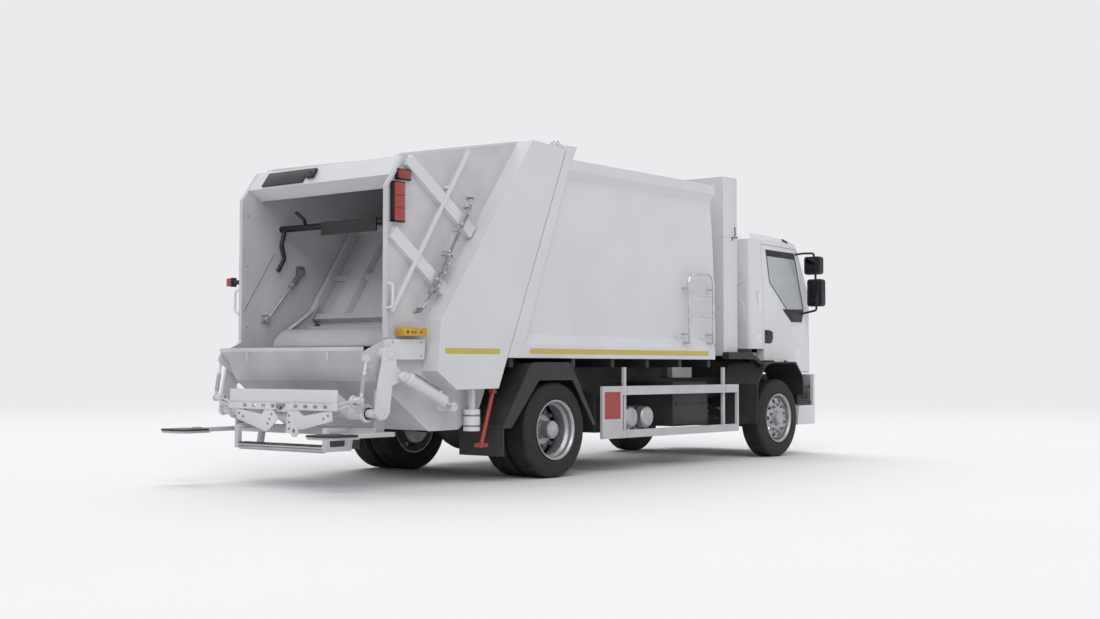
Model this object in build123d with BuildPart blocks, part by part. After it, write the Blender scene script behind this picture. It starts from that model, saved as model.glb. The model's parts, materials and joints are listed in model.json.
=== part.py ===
"""Rear loader garbage truck on a two-axle cab-over chassis.

Millimetres. +X points to the cab, +Y to the left side and +Z up. The origin lies on the
ground in the middle of the outline. The outlines below give x from the rear axle, which
is how a chassis drawing gives it, and z from the ground.
"""
from math import cos, radians, sin
import os

from build123d import *

os.makedirs("parts", exist_ok=True)

# Driving dimensions of the chassis
WHEELBASE = 4490
REAR_OVERHANG = 2960
FRONT_OVERHANG = 1230
REAR_AXLE_X = REAR_OVERHANG - (REAR_OVERHANG + WHEELBASE + FRONT_OVERHANG) / 2
PARTING_GAP = 9

# Wheels
TYRE_R = 480
TYRE_WIDTH = 276
RIM_R = 286
FLANGE_R = 299
REAR_RIM_Y = 1262
TWIN_SPACING = 310
FRONT_RIM_Y = 1206
KINGPIN_Y = 970
HAND_HOLES = 10

# Chassis frame
FRAME_TOP = 980
FRAME_DEPTH = 250
FRAME_HALF = 425
FRAME_REAR = -690
FRAME_FRONT = 5330

# Towing socket in the front member
TOW_X = 5280
TOW_Y = 300
TOW_Z = 860
TOW_R = 20

# Load body
BODY_FLOOR = 1197
BODY_FRONT = 3040
BODY_HALF = 1200
BODY_ROOF = 3235
BODY_WALL = 10
PARTING_FOOT_X = -671
PARTING_SLOPE = 0.4274

# Tailgate
HINGE_X = 121
HINGE_Z = 3383
HOPPER_HALF = 985
HOPPER_WALL = 12
SIDE_BOX_HALF = 1200

# Packing gear
GUIDE_ANGLE = 57
BLADE_PIVOT = (-1350, 1480)

# Bin lifter
ARM_PIVOT = (-2157, 1222)
CROSS_TUBE = (-2270, 690)
STRUT_TOP = (-2371, 1180)
STRUT_FOOT = (-2433, 810)
LIFT_LUG = (-2040, 1020)
LIFT_ANCHOR = (-1400, 735)

# Cab
CAB_HALF = 1100
CAB_WALL = 45


def at(x, y, z):
    """Point in the part's frame, with x given from the rear axle."""
    return (REAR_AXLE_X + x, y, z)


def side_plane(y):
    """Plane across the truck at y: its axes are +X and +Z, and it faces right."""
    return Plane(origin=at(0, y, 0), x_dir=(1, 0, 0), z_dir=(0, -1, 0))


def cross_plane(x):
    """Plane along the truck at x: its axes are +Y and +Z, and it faces forward."""
    return Plane(origin=at(x, 0, 0), x_dir=(0, 1, 0), z_dir=(1, 0, 0))


def level_plane(z):
    """Horizontal plane at height z, which faces up."""
    return Plane(origin=at(0, 0, z))


def parting_x(z):
    """x of the slanted plane on which body and tailgate meet, at height z."""
    return PARTING_FOOT_X + (z - 1188) * PARTING_SLOPE


def slab(outline, y_left, y_right, mode=Mode.ADD, shrink=0):
    """Side outline of (x, z) points, extruded from y_left to the right as far as y_right."""
    with BuildSketch(side_plane(y_left)) as face:
        with BuildLine():
            Polyline(*outline, close=True)
        make_face()
        if shrink:
            offset(amount=-shrink, kind=Kind.INTERSECTION, mode=Mode.REPLACE)
    extrude(face.sketch, amount=y_left - y_right, mode=mode)


def block(x, y, z, mode=Mode.ADD):
    """Box between two limits (low, high) on each axis."""
    with Locations(at(sum(x) / 2, sum(y) / 2, sum(z) / 2)):
        Box(x[1] - x[0], y[1] - y[0], z[1] - z[0], mode=mode)


def cross_bar(x, z, y_left, y_right, radius, mode=Mode.ADD):
    """Round bar across the truck."""
    with BuildSketch(side_plane(y_left)) as face:
        with Locations((x, z)):
            Circle(radius)
    extrude(face.sketch, amount=y_left - y_right, mode=mode)


def bar(start, end, radius, mode=Mode.ADD):
    """Round bar between two points of the outline frame."""
    first = Vector(*at(*start))
    run = Vector(*at(*end)) - first
    with BuildSketch(Plane(origin=first, z_dir=run)) as face:
        Circle(radius)
    extrude(face.sketch, amount=run.length, mode=mode)


def strip(start, end, width, y_left, y_right, mode=Mode.ADD):
    """Flat strip in the side view, from one (x, z) point to another."""
    along = Vector(end[0] - start[0], end[1] - start[1]).normalized()
    side = Vector(-along.Y, along.X) * (width / 2)
    corners = [(p[0] + s * side.X, p[1] + s * side.Y) for p, s in
               ((start, 1), (end, 1), (end, -1), (start, -1))]
    slab(corners, y_left, y_right, mode)


def tube_path(points, bend, radius, mode=Mode.ADD):
    """Bent tube along points of the outline frame, with equal bends."""
    with BuildLine() as path:
        FilletPolyline(*[at(*p) for p in points], radius=bend)
    with BuildSketch(Plane(origin=path.line @ 0, z_dir=path.line % 0)) as face:
        Circle(radius)
    sweep(face.sketch, path=path.line, mode=mode)


def sheet_outline(points, thickness):
    """Outline of a folded sheet: the given (x, z) folds and their mitred far side on the left."""
    spots = [Vector(*p) for p in points]
    runs = [(b - a).normalized() for a, b in zip(spots, spots[1:])]
    normals = [Vector(-run.Y, run.X) for run in runs]
    far = [spots[0] + normals[0] * thickness]
    for spot, before, after in zip(spots[1:], normals, normals[1:]):
        far.append(spot + (before + after) * (thickness / (1 + before.dot(after))))
    far.append(spots[-1] + normals[-1] * thickness)
    return list(points) + [(p.X, p.Y) for p in reversed(far)]


def write(builder, label):
    """Label a finished piece and write its file."""
    builder.part.label = label
    export_step(builder.part, f"parts/{label}.step")


# Chassis frame: two channel rails with cross members
with BuildPart() as chassis_frame:
    with BuildSketch(cross_plane(FRAME_REAR)) as rail_section:
        for side in (1, -1):
            with Locations((side * (FRAME_HALF - 4), FRAME_TOP - FRAME_DEPTH / 2)):
                Rectangle(8, FRAME_DEPTH)
            for z in (FRAME_TOP - 4, FRAME_TOP - FRAME_DEPTH + 4):
                with Locations((side * (FRAME_HALF - 37.5), z)):
                    Rectangle(75, 8)
    extrude(amount=FRAME_FRONT - FRAME_REAR)
    for x in (-640, -330, 330, 1300, 2300, 3150):
        block((x - 30, x + 30), (-FRAME_HALF + 6, FRAME_HALF - 6), (FRAME_TOP - 190, FRAME_TOP - 60))
    block((TOW_X - 40, TOW_X + 40), (-FRAME_HALF + 6, FRAME_HALF - 6), (FRAME_TOP - 230, FRAME_TOP - 20))
    # Socket for the towing eye in the front member
    with BuildSketch(cross_plane(TOW_X - 60)) as socket:
        with Locations((TOW_Y, TOW_Z)):
            Circle(TOW_R)
    extrude(socket.sketch, amount=120, mode=Mode.SUBTRACT)
write(chassis_frame, "chassis_frame")

# Subframe: two long beams on the rails, with bearers out to the body's sides
BEARER_ROW = (-560, 420, 1100, 1740, 2380, 2980)
with BuildPart() as subframe:
    for side in (1, -1):
        block((-640, BODY_FRONT), sorted((side * 345, side * 420)), (FRAME_TOP + 1, BODY_FLOOR - 1))
    for x in BEARER_ROW:
        block((x - 30, x + 30), (-1150, 1150), (BODY_FLOOR - 91, BODY_FLOOR - 1))
write(subframe, "subframe")

# Engine with its gearbox: plain blocks at their real place between the rails
with BuildPart() as engine:
    block((4330, 5180), (-330, 330), (600, 1190))
    block((3560, 4330), (-210, 210), (560, 900))
write(engine, "engine")

# Front axle beam with kingpin bosses
with BuildPart() as front_axle:
    block((WHEELBASE - 45, WHEELBASE + 45), (-800, 800), (360, 450))
    for side in (1, -1):
        block((WHEELBASE - 40, WHEELBASE + 40), sorted((side * 760, side * 930)), (432, 480))
        with BuildSketch(level_plane(430)) as boss:
            with Locations((WHEELBASE, side * KINGPIN_Y)):
                Circle(48)
        extrude(boss.sketch, amount=100)
        block((WHEELBASE - 40, WHEELBASE + 40), sorted((side * 900, side * KINGPIN_Y)), (430, 480))
        with BuildSketch(level_plane(430)) as kingpin_bore:
            with Locations((WHEELBASE, side * KINGPIN_Y)):
                Circle(23)
        extrude(kingpin_bore.sketch, amount=100, mode=Mode.SUBTRACT)
write(front_axle, "front_axle")

# Rear axle: banjo housing and tubes, with the propeller shaft from the gearbox
with BuildPart() as rear_axle:
    cross_bar(0, TYRE_R, 640, -640, 75)
    with Locations(at(0, 0, TYRE_R)):
        Sphere(235)
    cross_bar(0, TYRE_R, 160, -160, 190)
    bar((0, 0, TYRE_R), (330, 0, TYRE_R + 10), 70)
    bar((330, 0, TYRE_R + 10), (3555, 0, 700), 52)
write(rear_axle, "rear_axle")

# Leaf springs, front and rear, with their hangers
SPRING_ROWS = (
    # axle x, half length, eye height, pack height at the axle, side y
    (0, 640, 690, 560, 470),
    (WHEELBASE, 700, 690, 451, 470),
)
with BuildPart() as springs:
    for axle_x, half, eye_z, pack_z, side_y in SPRING_ROWS:
        for side in (1, -1):
            y_limits = (side * side_y + 40, side * side_y - 40)
            slab([(axle_x - half, eye_z), (axle_x - 150, pack_z), (axle_x + 150, pack_z),
                  (axle_x + half, eye_z), (axle_x + half, eye_z + 28), (axle_x + 150, pack_z + 80),
                  (axle_x - 150, pack_z + 80), (axle_x - half, eye_z + 28)], *y_limits)
            for end in (-half, half):
                slab([(axle_x + end - 28, eye_z + 5), (axle_x + end + 28, eye_z + 5),
                      (axle_x + end + 60, 900), (axle_x + end - 60, 900)],
                     side * side_y + 44, side * side_y - 44)
write(springs, "springs")


def rim_profile(y_flange, side, dish):
    """Half section of a wheel disc and barrel, in a plane through the wheel's axis.

    The profile's x is the radius and its y runs outwards from the flange at y_flange.
    dish is how far the disc sits inside the outer flange.
    """
    width = TYRE_WIDTH - 26
    with BuildSketch(Plane(origin=at(0, 0, TYRE_R), x_dir=(1, 0, 0), z_dir=(0, 0, 1))) as profile:
        def point(radius, depth):
            return (radius, side * (y_flange - depth))
        with BuildLine():
            Polyline(
                point(FLANGE_R, 0), point(FLANGE_R, 14), point(RIM_R, 20), point(RIM_R - 4, 60),
                point(RIM_R - 26, 90), point(RIM_R - 26, width - 60), point(RIM_R, width - 20),
                point(FLANGE_R, width - 14), point(FLANGE_R, width), point(FLANGE_R - 12, width),
                point(RIM_R - 14, width - 24), point(RIM_R - 38, width - 64), point(RIM_R - 38, dish + 40),
                point(205, dish + 26), point(190, dish + 14), point(80, dish + 14), point(80, dish),
                point(198, dish), point(220, dish + 12), point(RIM_R - 36, dish + 22), point(RIM_R - 36, 88),
                point(RIM_R - 14, 58), point(RIM_R - 12, 20), point(FLANGE_R - 12, 2), close=True)
        make_face()
    return profile.sketch


def wheel_disc(x, y_flange, side, dish):
    """Disc wheel with its ring of hand holes, standing at the axle at x."""
    with BuildPart() as disc:
        revolve(rim_profile(y_flange, side, dish), axis=Axis(at(0, 0, TYRE_R), (0, 1, 0)))
        with BuildSketch(side_plane(y_flange + 40)) as holes:
            with Locations((0, TYRE_R)):
                with PolarLocations(216, HAND_HOLES):
                    Circle(27)
        extrude(holes.sketch, amount=2 * y_flange + 80, mode=Mode.SUBTRACT)
    return Pos(x, 0, 0) * disc.part


def tyre(x, y_outer, side):
    """Tyre with rounded shoulders and flat tread around the rim at the axle at x."""
    with BuildPart() as casing:
        with BuildSketch(Plane(origin=at(0, 0, TYRE_R), x_dir=(1, 0, 0), z_dir=(0, 0, 1))) as section:
            def point(radius, depth):
                return (radius, side * (y_outer - depth))
            with BuildLine():
                Polyline(point(RIM_R + 1, 22), point(FLANGE_R + 2, 15), point(330, 6), point(390, 0),
                         point(440, 8), point(470, 22), point(TYRE_R, 44), point(TYRE_R, TYRE_WIDTH - 44),
                         point(470, TYRE_WIDTH - 22), point(440, TYRE_WIDTH - 8), point(390, TYRE_WIDTH),
                         point(330, TYRE_WIDTH - 6), point(FLANGE_R + 2, TYRE_WIDTH - 41),
                         point(RIM_R + 1, TYRE_WIDTH - 48), close=True)
            make_face()
        revolve(section.sketch, axis=Axis(at(0, 0, TYRE_R), (0, 1, 0)))
    return Pos(x, 0, 0) * casing.part


# Wheels: twins at the rear, single ones at the front
for side, side_name in ((1, "left"), (-1, "right")):
    twin_rims = [wheel_disc(0, REAR_RIM_Y, side, 170),
                 wheel_disc(0, REAR_RIM_Y - TWIN_SPACING, side, 20)]
    with BuildPart() as rear_rims:
        add(twin_rims)
        # Hub that carries both discs, with its stepped cap
        cross_bar(0, TYRE_R, *sorted((side * 690, side * 1112), reverse=True), 96)
        cross_bar(0, TYRE_R, *sorted((side * 1112, side * 1215), reverse=True), 88)
        cross_bar(0, TYRE_R, *sorted((side * 1215, side * 1235), reverse=True), 62)
        # Spacer between the discs and the brake drum
        cross_bar(0, TYRE_R, *sorted((side * 930, side * 1082), reverse=True), 150)
        cross_bar(0, TYRE_R, *sorted((side * 680, side * 920), reverse=True), 190)
    write(rear_rims, f"rims_rear_{side_name}")
    with BuildPart() as rear_tyres:
        add([tyre(0, REAR_RIM_Y, side), tyre(0, REAR_RIM_Y - TWIN_SPACING, side)])
    write(rear_tyres, f"tyres_rear_{side_name}")
    front_disc = wheel_disc(WHEELBASE, FRONT_RIM_Y, side, 26)
    with BuildPart() as front_rim:
        add(front_disc)
        cross_bar(WHEELBASE, TYRE_R, *sorted((side * 1085, side * 1215), reverse=True), 92)
        cross_bar(WHEELBASE, TYRE_R, *sorted((side * 1215, side * 1232), reverse=True), 66)
    write(front_rim, f"rim_front_{side_name}")
    with BuildPart() as front_tyre:
        add(tyre(WHEELBASE, FRONT_RIM_Y, side))
    write(front_tyre, f"tyre_front_{side_name}")

# Steering knuckles: fork round the axle boss, spindle flange and kingpin
for side, side_name in ((1, "left"), (-1, "right")):
    with BuildPart() as knuckle:
        for z in (370, 536):
            with BuildSketch(level_plane(z)) as ear:
                with Locations((WHEELBASE, side * KINGPIN_Y)):
                    Circle(46)
                with Locations((WHEELBASE, side * (KINGPIN_Y + 45))):
                    Rectangle(84, 70)
            extrude(ear.sketch, amount=54)
        cross_bar(WHEELBASE, TYRE_R, *sorted((side * (KINGPIN_Y + 55), side * (KINGPIN_Y + 85)),
                                             reverse=True), 118)
        with BuildSketch(level_plane(372)) as pin:
            with Locations((WHEELBASE, side * KINGPIN_Y)):
                Circle(22)
        extrude(pin.sketch, amount=216)
        # Spindle that carries the hub
        cross_bar(WHEELBASE, TYRE_R, *sorted((side * (KINGPIN_Y + 80), side * 1080), reverse=True), 45)
    write(knuckle, f"knuckle_{side_name}")

# Rear mudguards: faceted arches with a side skirt and a hanging flap
GUARD_OUTER = [(-820, 520), (-387, 1146), (228, 1148), (640, 512)]
GUARD_INNER = [(-700, 520), (-280, 975), (250, 975), (592, 512)]
with BuildPart() as rear_mudguards:
    slab(sheet_outline(GUARD_OUTER, -14), 1262, 660)
    slab(GUARD_OUTER + GUARD_INNER[::-1], 1274, 1266)
    slab(sheet_outline(GUARD_OUTER, -14), 1274, 1262)
    block((-815, -803), (700, 1270), (250, 560))
    mirror(about=Plane.XZ)
write(rear_mudguards, "mudguards_rear")

# Front mudguards: arches round the steered wheels
FRONT_GUARD = [(3905, 420), (3925, 900), (4110, 1130), (4290, 1165), (4860, 1165), (5030, 985), (5050, 760)]
REAR_FAIRING = [(3345, 1205), (3345, 1270), (3365, 1288), (3860, 1288), (4150, 1150), (4110, 1125), (3925, 1205)]
with BuildPart() as front_mudguards:
    slab(sheet_outline(FRONT_GUARD, 12), 1240, 720)
    # Fairing that runs back from the arch under the cabinet's corner
    slab(REAR_FAIRING, 1200, 1106)
    mirror(about=Plane.XZ)
write(front_mudguards, "mudguards_front")

# Side guards: frame with two rails, plate at the rear end and posts to the chassis
GUARD_Y = 1250
with BuildPart() as side_guards:
    slab([(1140, 811), (3475, 811), (3475, 906), (1140, 906)], GUARD_Y, GUARD_Y - 30)
    slab([(1140, 355), (3475, 355), (3475, 440), (1140, 440)], GUARD_Y, GUARD_Y - 30)
    slab([(784, 355), (1145, 355), (1145, 906), (784, 906)], GUARD_Y, GUARD_Y - 30)
    slab([(3435, 355), (3475, 355), (3475, 906), (3435, 906)], GUARD_Y, GUARD_Y - 30)
    for x in (1227, 3194):
        block((x - 22, x + 22), (GUARD_Y - 60, GUARD_Y - 30), (380, BODY_FLOOR - 91))
    mirror(about=Plane.XZ)
write(side_guards, "side_guards")

# What hangs on the rails between the axles
with BuildPart() as chassis_boxes:
    block((760, 1190), (-1150, -FRAME_HALF - 1), (420, 860))
    block((2250, 2980), (-1130, -FRAME_HALF - 1), (440, 940))
    fillet(chassis_boxes.edges().filter_by(Axis.Y), 30)
write(chassis_boxes, "chassis_boxes")
AIR_TANK_ROW = (1480, 1780)
with BuildPart() as air_tanks:
    for x in AIR_TANK_ROW:
        cross_bar(x, 560, -480, -1130, 118)
    fillet(air_tanks.edges().filter_by(GeomType.CIRCLE), 30)
    for x in AIR_TANK_ROW:
        block((x - 20, x + 20), (-700, -FRAME_HALF - 1), (660, 780))
write(air_tanks, "air_tanks")
with BuildPart() as fuel_tank:
    block((1300, 2700), (FRAME_HALF + 1, 1140), (430, 960))
    fillet(fuel_tank.edges().filter_by(Axis.X), 90)
write(fuel_tank, "fuel_tank")


def body_section(x, shrink=0):
    """Cross section of the load body at x: bulged walls under a roof rail."""
    with BuildSketch(cross_plane(x)) as section:
        with BuildLine():
            Polyline((0, BODY_ROOF), (BODY_HALF, BODY_ROOF), (BODY_HALF, 3128), (1130, 3040))
            ThreePointArc((1130, 3040), (1178, 2240), (1160, 1430))
            Polyline((1160, 1430), (BODY_HALF, 1330), (BODY_HALF, BODY_FLOOR), (0, BODY_FLOOR))
            mirror(about=Plane.YZ)
        make_face()
        if shrink:
            offset(amount=-shrink, kind=Kind.INTERSECTION, mode=Mode.REPLACE)
    return section.sketch


# Load body: open at the slanted rear frame, closed in front
BODY_START = -700
ROOF_PANELS = (
    # rear x, front x
    (900, 1330),
    (1610, 2150),
    (2370, 2960),
)
with BuildPart() as load_body:
    extrude(body_section(BODY_START), amount=BODY_FRONT - BODY_START)
    extrude(body_section(BODY_START, BODY_WALL), amount=BODY_FRONT - BODY_START - BODY_WALL,
            mode=Mode.SUBTRACT)
    for rear_x, front_x in ROOF_PANELS:
        slab([(rear_x, BODY_ROOF), (rear_x + 60, BODY_ROOF + 45), (front_x - 60, BODY_ROOF + 45),
              (front_x, BODY_ROOF)], 930, -930)
    # Rear frame: posts, header and floor beam along the parting plane
    for y_left, y_right in ((1206, 1110), (-1110, -1206)):
        slab([(parting_x(1197), 1197), (parting_x(3371), 3371), (412, 3371), (259, 3093), (-429, 1323),
              (-482, 1197)], y_left, y_right)
    slab([(parting_x(3236), 3236), (parting_x(3371), 3371), (412, 3371), (350, 3236)], 1110, -1110)
    slab([(parting_x(1197), 1197), (parting_x(1290), 1290), (-500, 1290), (-482, 1197)], 1110, -1110)
    slab([(-900, 1100), (parting_x(1100), 1100), (parting_x(3500), 3500), (-900, 3500)], 1300, -1300,
         mode=Mode.SUBTRACT)
    # Hinge lugs on the header
    for y in (1142, -1112):
        slab([(300, 3349), (300, 3371), (HINGE_X, HINGE_Z + 34), (HINGE_X, 3349)], y, y - 30)
        cross_bar(HINGE_X, HINGE_Z, y, y - 30, 34)
    for y in (1188, -1112):
        cross_bar(HINGE_X, HINGE_Z, y, y - 76, 20)
write(load_body, "load_body")

# Ejector plate: ribbed wall that pushes the load out, on two floor shoes
EJECTOR_X = 2880
with BuildPart() as ejector_plate:
    slab([(EJECTOR_X - 300, 1240), (EJECTOR_X - 290, 1240), (EJECTOR_X, 3120), (EJECTOR_X - 12, 3120)],
         1090, -1090)
    for y in (-700, 0, 700):
        slab([(EJECTOR_X - 295, 1240), (EJECTOR_X + 20, 1240), (EJECTOR_X + 20, 3120),
              (EJECTOR_X - 6, 3120)], y + 20, y - 20)
    for y in (-700, 700):
        block((EJECTOR_X - 330, EJECTOR_X + 60), (y - 60, y + 60), (BODY_FLOOR + BODY_WALL + 6, 1245))
write(ejector_plate, "ejector_plate")

# Front cabinet between cab and body
with BuildPart() as front_cabinet:
    block((3410, 3710), (-1100, 1100), (1250, 3390))
    fillet(front_cabinet.edges().filter_by(Axis.Z), 25)
    block((3420, 3700), (-1090, 1090), (1200, 3380), mode=Mode.SUBTRACT)
    block((BODY_FRONT, 3412), (-450, 450), (1250, 3000))
    for side in (1, -1):
        block((3300, 3720), sorted((side * 345, side * 420)), (FRAME_TOP + 1, 1252))
write(front_cabinet, "front_cabinet")

# Ladder on the right wall: bent tube with rungs and wall brackets
with BuildPart() as ladder:
    tube_path([(2400, -1270, 1380), (2380, -1270, 2160), (2890, -1270, 2177), (2900, -1270, 1380)], 110, 17)
    for z in (1690, 1930):
        bar((2392, -1270, z), (2897, -1270, z), 13)
    for x, z in ((2396, 1480), (2898, 1480), (2388, 2000), (2893, 2000)):
        block((x - 12, x + 12), (-1270, -1155), (z - 12, z + 12))
    extrude(body_section(2300), amount=700, mode=Mode.SUBTRACT)
write(ladder, "ladder")

# Tailgate hopper: side walls down to the trough, floor and front sheet
HOPPER_SIDE = [
    (-2150, 1345), (-2150, 2747), (-1944, 3038), (-70, 3388), (150, 3352), (210, 3310),
    (parting_x(3260) - PARTING_GAP, 3260), (parting_x(1197) - PARTING_GAP, 1197), (-787, 863),
    (-855, 717), (-1154, 514), (-1559, 510), (-2033, 845), (-2200, 980), (-2223, 1032), (-2398, 1140),
    (-2412, 1200), (-2388, 1244),
]
MOUTH_EDGE = [(-2150, 1364), (-2150, 2747), (-1944, 3038)]
POST_DEPTH = 28
POST_OUT = 1027
with BuildPart() as hopper:
    slab(HOPPER_SIDE, HOPPER_HALF + HOPPER_WALL, HOPPER_HALF)
    mirror(about=Plane.XZ)
    # Trough floor, bent round the blade's sweep
    with BuildSketch(side_plane(HOPPER_HALF)) as trough:
        with BuildLine():
            Line((-2200, 980), (-2033, 845))
            Line((-2033, 845), (-1559, 510))
            Line((-1559, 510), (-1154, 514))
            Line((-1154, 514), (-855, 717))
            Polyline((-855, 717), (-787, 863), (parting_x(1197) - PARTING_GAP, 1197), (parting_x(1197) - PARTING_GAP - 15, 1197),
                     (-803, 866), (-868, 729))
            ThreePointArc((-868, 729), (-1360, 526), (-2026, 857))
            Polyline((-2026, 857), (-2192, 990), (-2200, 980))
        make_face()
    extrude(trough.sketch, amount=2 * HOPPER_HALF)
    # Square posts that stiffen the mouth's rear edges, up to the fascia
    for side in (1, -1):
        slab(sheet_outline(MOUTH_EDGE, -POST_DEPTH), *sorted((side * (HOPPER_HALF + 1), side * POST_OUT),
                                                             reverse=True))
write(hopper, "hopper")

# Loading sill: rail and folded sheet at the hopper's rear edge
with BuildPart() as loading_sill:
    slab([(-2412, 1250), (-2376, 1250), (-2376, 1286), (-2412, 1286)], 930, -930)
    slab([(-2404, 1252), (-2307, 1138), (-2207, 976), (-2198, 984), (-2297, 1144), (-2392, 1254)],
         HOPPER_HALF - 1, -HOPPER_HALF + 1)
    for y in (-560, 560):
        tube_path([(-2400, y, 1252), (-2428, y, 1225), (-2420, y, 1160)], 18, 8)
write(loading_sill, "loading_sill")

# Tailgate roof with fascia, under-return and two raised strips
with BuildPart() as tailgate_roof:
    slab(sheet_outline([(210, 3310), (150, 3352), (-70, 3388), (-1944, 3038), (-2075, 2853),
                        (-1911, 2757)], 12), HOPPER_HALF - 1, -HOPPER_HALF + 1)
    for y in (-930, 860):
        slab([(-1900, 3046), (-1880, 3074), (-200, 3388), (-170, 3369)], y + 70, y)
    # Screen hood on the left of the fascia, with the small camera beside it
    slab([(-1966, 3006), (-2062, 2872), (-2074, 2880), (-1978, 3014)], 790, 200)
    slab([(-1990, 2990), (-2050, 2906), (-2074, 2923), (-2014, 3007)], 150, 60)
write(tailgate_roof, "tailgate_roof")

# Side boxes of the tailgate: big outer panels that return to the hopper walls
SIDE_BOX = [
    (parting_x(3335) - PARTING_GAP, 3335), (-293, 3363), (-1609, 1533), (-1657, 1069), (-1392, 895),
    (parting_x(902) - PARTING_GAP, 902),
]
with BuildPart() as tailgate_side_boxes:
    slab(SIDE_BOX, SIDE_BOX_HALF, HOPPER_HALF + HOPPER_WALL)
    slab(SIDE_BOX, SIDE_BOX_HALF - 8, HOPPER_HALF + HOPPER_WALL, mode=Mode.SUBTRACT, shrink=8)
    # Hinge ears on the boxes' tops
    slab([(60, 3340), (185, 3333), (HINGE_X + 30, HINGE_Z + 10), (HINGE_X, HINGE_Z + 34),
          (HINGE_X - 30, HINGE_Z + 10)], 1180, 1150)
    cross_bar(HINGE_X, HINGE_Z, 1182, 1148, 20.5, mode=Mode.SUBTRACT)
    mirror(about=Plane.XZ)
write(tailgate_side_boxes, "tailgate_side_boxes")

# Box ribs, slim bar and hydraulic pipes on the hopper's outer walls
PIPE_UP = (cos(radians(GUIDE_ANGLE)), sin(radians(GUIDE_ANGLE)))
with BuildPart() as wall_braces:
    outer = HOPPER_HALF + HOPPER_WALL
    strip((-1880, 3003), (-1017, 2389), 120, outer + 60, outer)
    strip((-2082, 2327), (-1377, 1807), 120, outer + 60, outer)
    strip((-1091, 3175), (-2113, 1607), 40, outer + 76, outer + 60)
    strip((-1330, 2807), (-1350, 2777), 40, outer + 76, outer)
    strip((-2080, 1657), (-2100, 1627), 40, outer + 76, outer)
    slab(SIDE_BOX, outer + 100, outer - 1, mode=Mode.SUBTRACT)
    # Grab handle at the rear edge
    grip_x = MOUTH_EDGE[0][0] + POST_DEPTH / 2
    tube_path([(grip_x, POST_OUT + 1, 1860), (grip_x, POST_OUT + 76, 1860), (grip_x, POST_OUT + 76, 1640),
               (grip_x, POST_OUT + 1, 1640)], 40, 13)
    mirror(about=Plane.XZ)
write(wall_braces, "wall_braces")
PIPE_ROWS = (
    # lower x, lower z, length
    (-1760, 1610, 1330),
    (-1720, 1640, 1180),
    (-1560, 1800, 420),
)
with BuildPart() as hydraulic_lines:
    outer = HOPPER_HALF + HOPPER_WALL
    for low_x, low_z, length in PIPE_ROWS:
        high = (low_x + length * PIPE_UP[0], low_z + length * PIPE_UP[1])
        tube_path([(low_x, outer, low_z), (low_x, outer + 92, low_z),
                   (high[0], outer + 92, high[1]), (high[0], outer, high[1])], 30, 9)
    mirror(about=Plane.XZ)
    # Small cylinder on the left inner wall
    bar((-1857, 940, 1579), (-1560, 940, 1913), 12)
    bar((-1560, 940, 1913), (-1407, 940, 2085), 26)
    block((-1885, -1835), (935, HOPPER_HALF), (1555, 1605))
    block((-1460, -1380), (935, HOPPER_HALF), (2040, 2130))
write(hydraulic_lines, "hydraulic_lines")

# Lamps at the hopper's rear edges, with markers on stalks
with BuildPart() as tail_lamps:
    outer = HOPPER_HALF + HOPPER_WALL
    block((-2006, -1850), (outer, outer + 50), (2822, 2900))
    block((-2064, -1936), (outer, outer + 60), (2432, 2780))
    fillet(tail_lamps.edges().filter_by(Axis.Y), 14)
    block((-2115, -2075), (outer, 1180), (1930, 1960))
    block((-2125, -2065), (1180, 1262), (1905, 1990))
    mirror(about=Plane.XZ)
write(tail_lamps, "tail_lamps")

# Brackets under the hopper walls: pivot boxes, cylinder anchors and a small control box
with BuildPart() as side_brackets:
    outer = HOPPER_HALF + HOPPER_WALL
    slab([(-2140, 1357), (-1664, 1362), (-1680, 1174), (-2060, 1173), (-2150, 1230)], outer + 58, outer)
    cross_bar(*ARM_PIVOT, outer + 65, outer, 60)
    cross_bar(*ARM_PIVOT, outer + 112, outer + 60, 30)
    slab([(-1480, 850), (-1330, 850), (-1350, 690), (-1450, 690)], outer + 26, outer)
    cross_bar(*LIFT_ANCHOR, outer + 138, outer + 26, 22)
    cross_bar(*STRUT_TOP, outer + 34, outer, 20)
    mirror(about=Plane.XZ)
    block((-2010, -1710), (-outer - 120, -outer - 20), (1388, 1458))
    block((-1900, -1800), (-outer - 30, -outer), (1400, 1440))
    # Pale canister that hangs under the right side box
    with BuildSketch(level_plane(500)) as can:
        with Locations((-1055, -1080)):
            Circle(80)
    extrude(can.sketch, amount=205)
    block((-1080, -1030), (-1100, -1060), (700, 894))
write(side_brackets, "side_brackets")

# Black beam across the hopper's mouth, with cover plate and a bent arm down the left wall
with BuildPart() as hopper_beam:
    cross_bar(-1650, 2495, HOPPER_HALF, -HOPPER_HALF, 32)
    slab([(-1690, 2400), (-1674, 2400), (-1674, 2530), (-1690, 2530)], 350, -420)
    tube_path([(-1650, 930, 2495), (-1700, 925, 2330), (-1660, 925, 2200), (-1741, 925, 2067)], 40, 22)
    tube_path([(-1650, 620, 2500), (-1720, 560, 2560), (-1760, 640, 2640)], 30, 18)
write(hopper_beam, "hopper_beam")

# Packing carriage: side beams on the guide line, ribs and cross members
GUIDE = Vector(*PIPE_UP)
GUIDE_NORMAL = Vector(-GUIDE.Y, GUIDE.X)


def on_guide(along, across):
    """Side-view point given along the guide line from the blade's pivot, and across it."""
    spot = Vector(*BLADE_PIVOT) + GUIDE * along + GUIDE_NORMAL * across
    return (spot.X, spot.Y)


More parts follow.
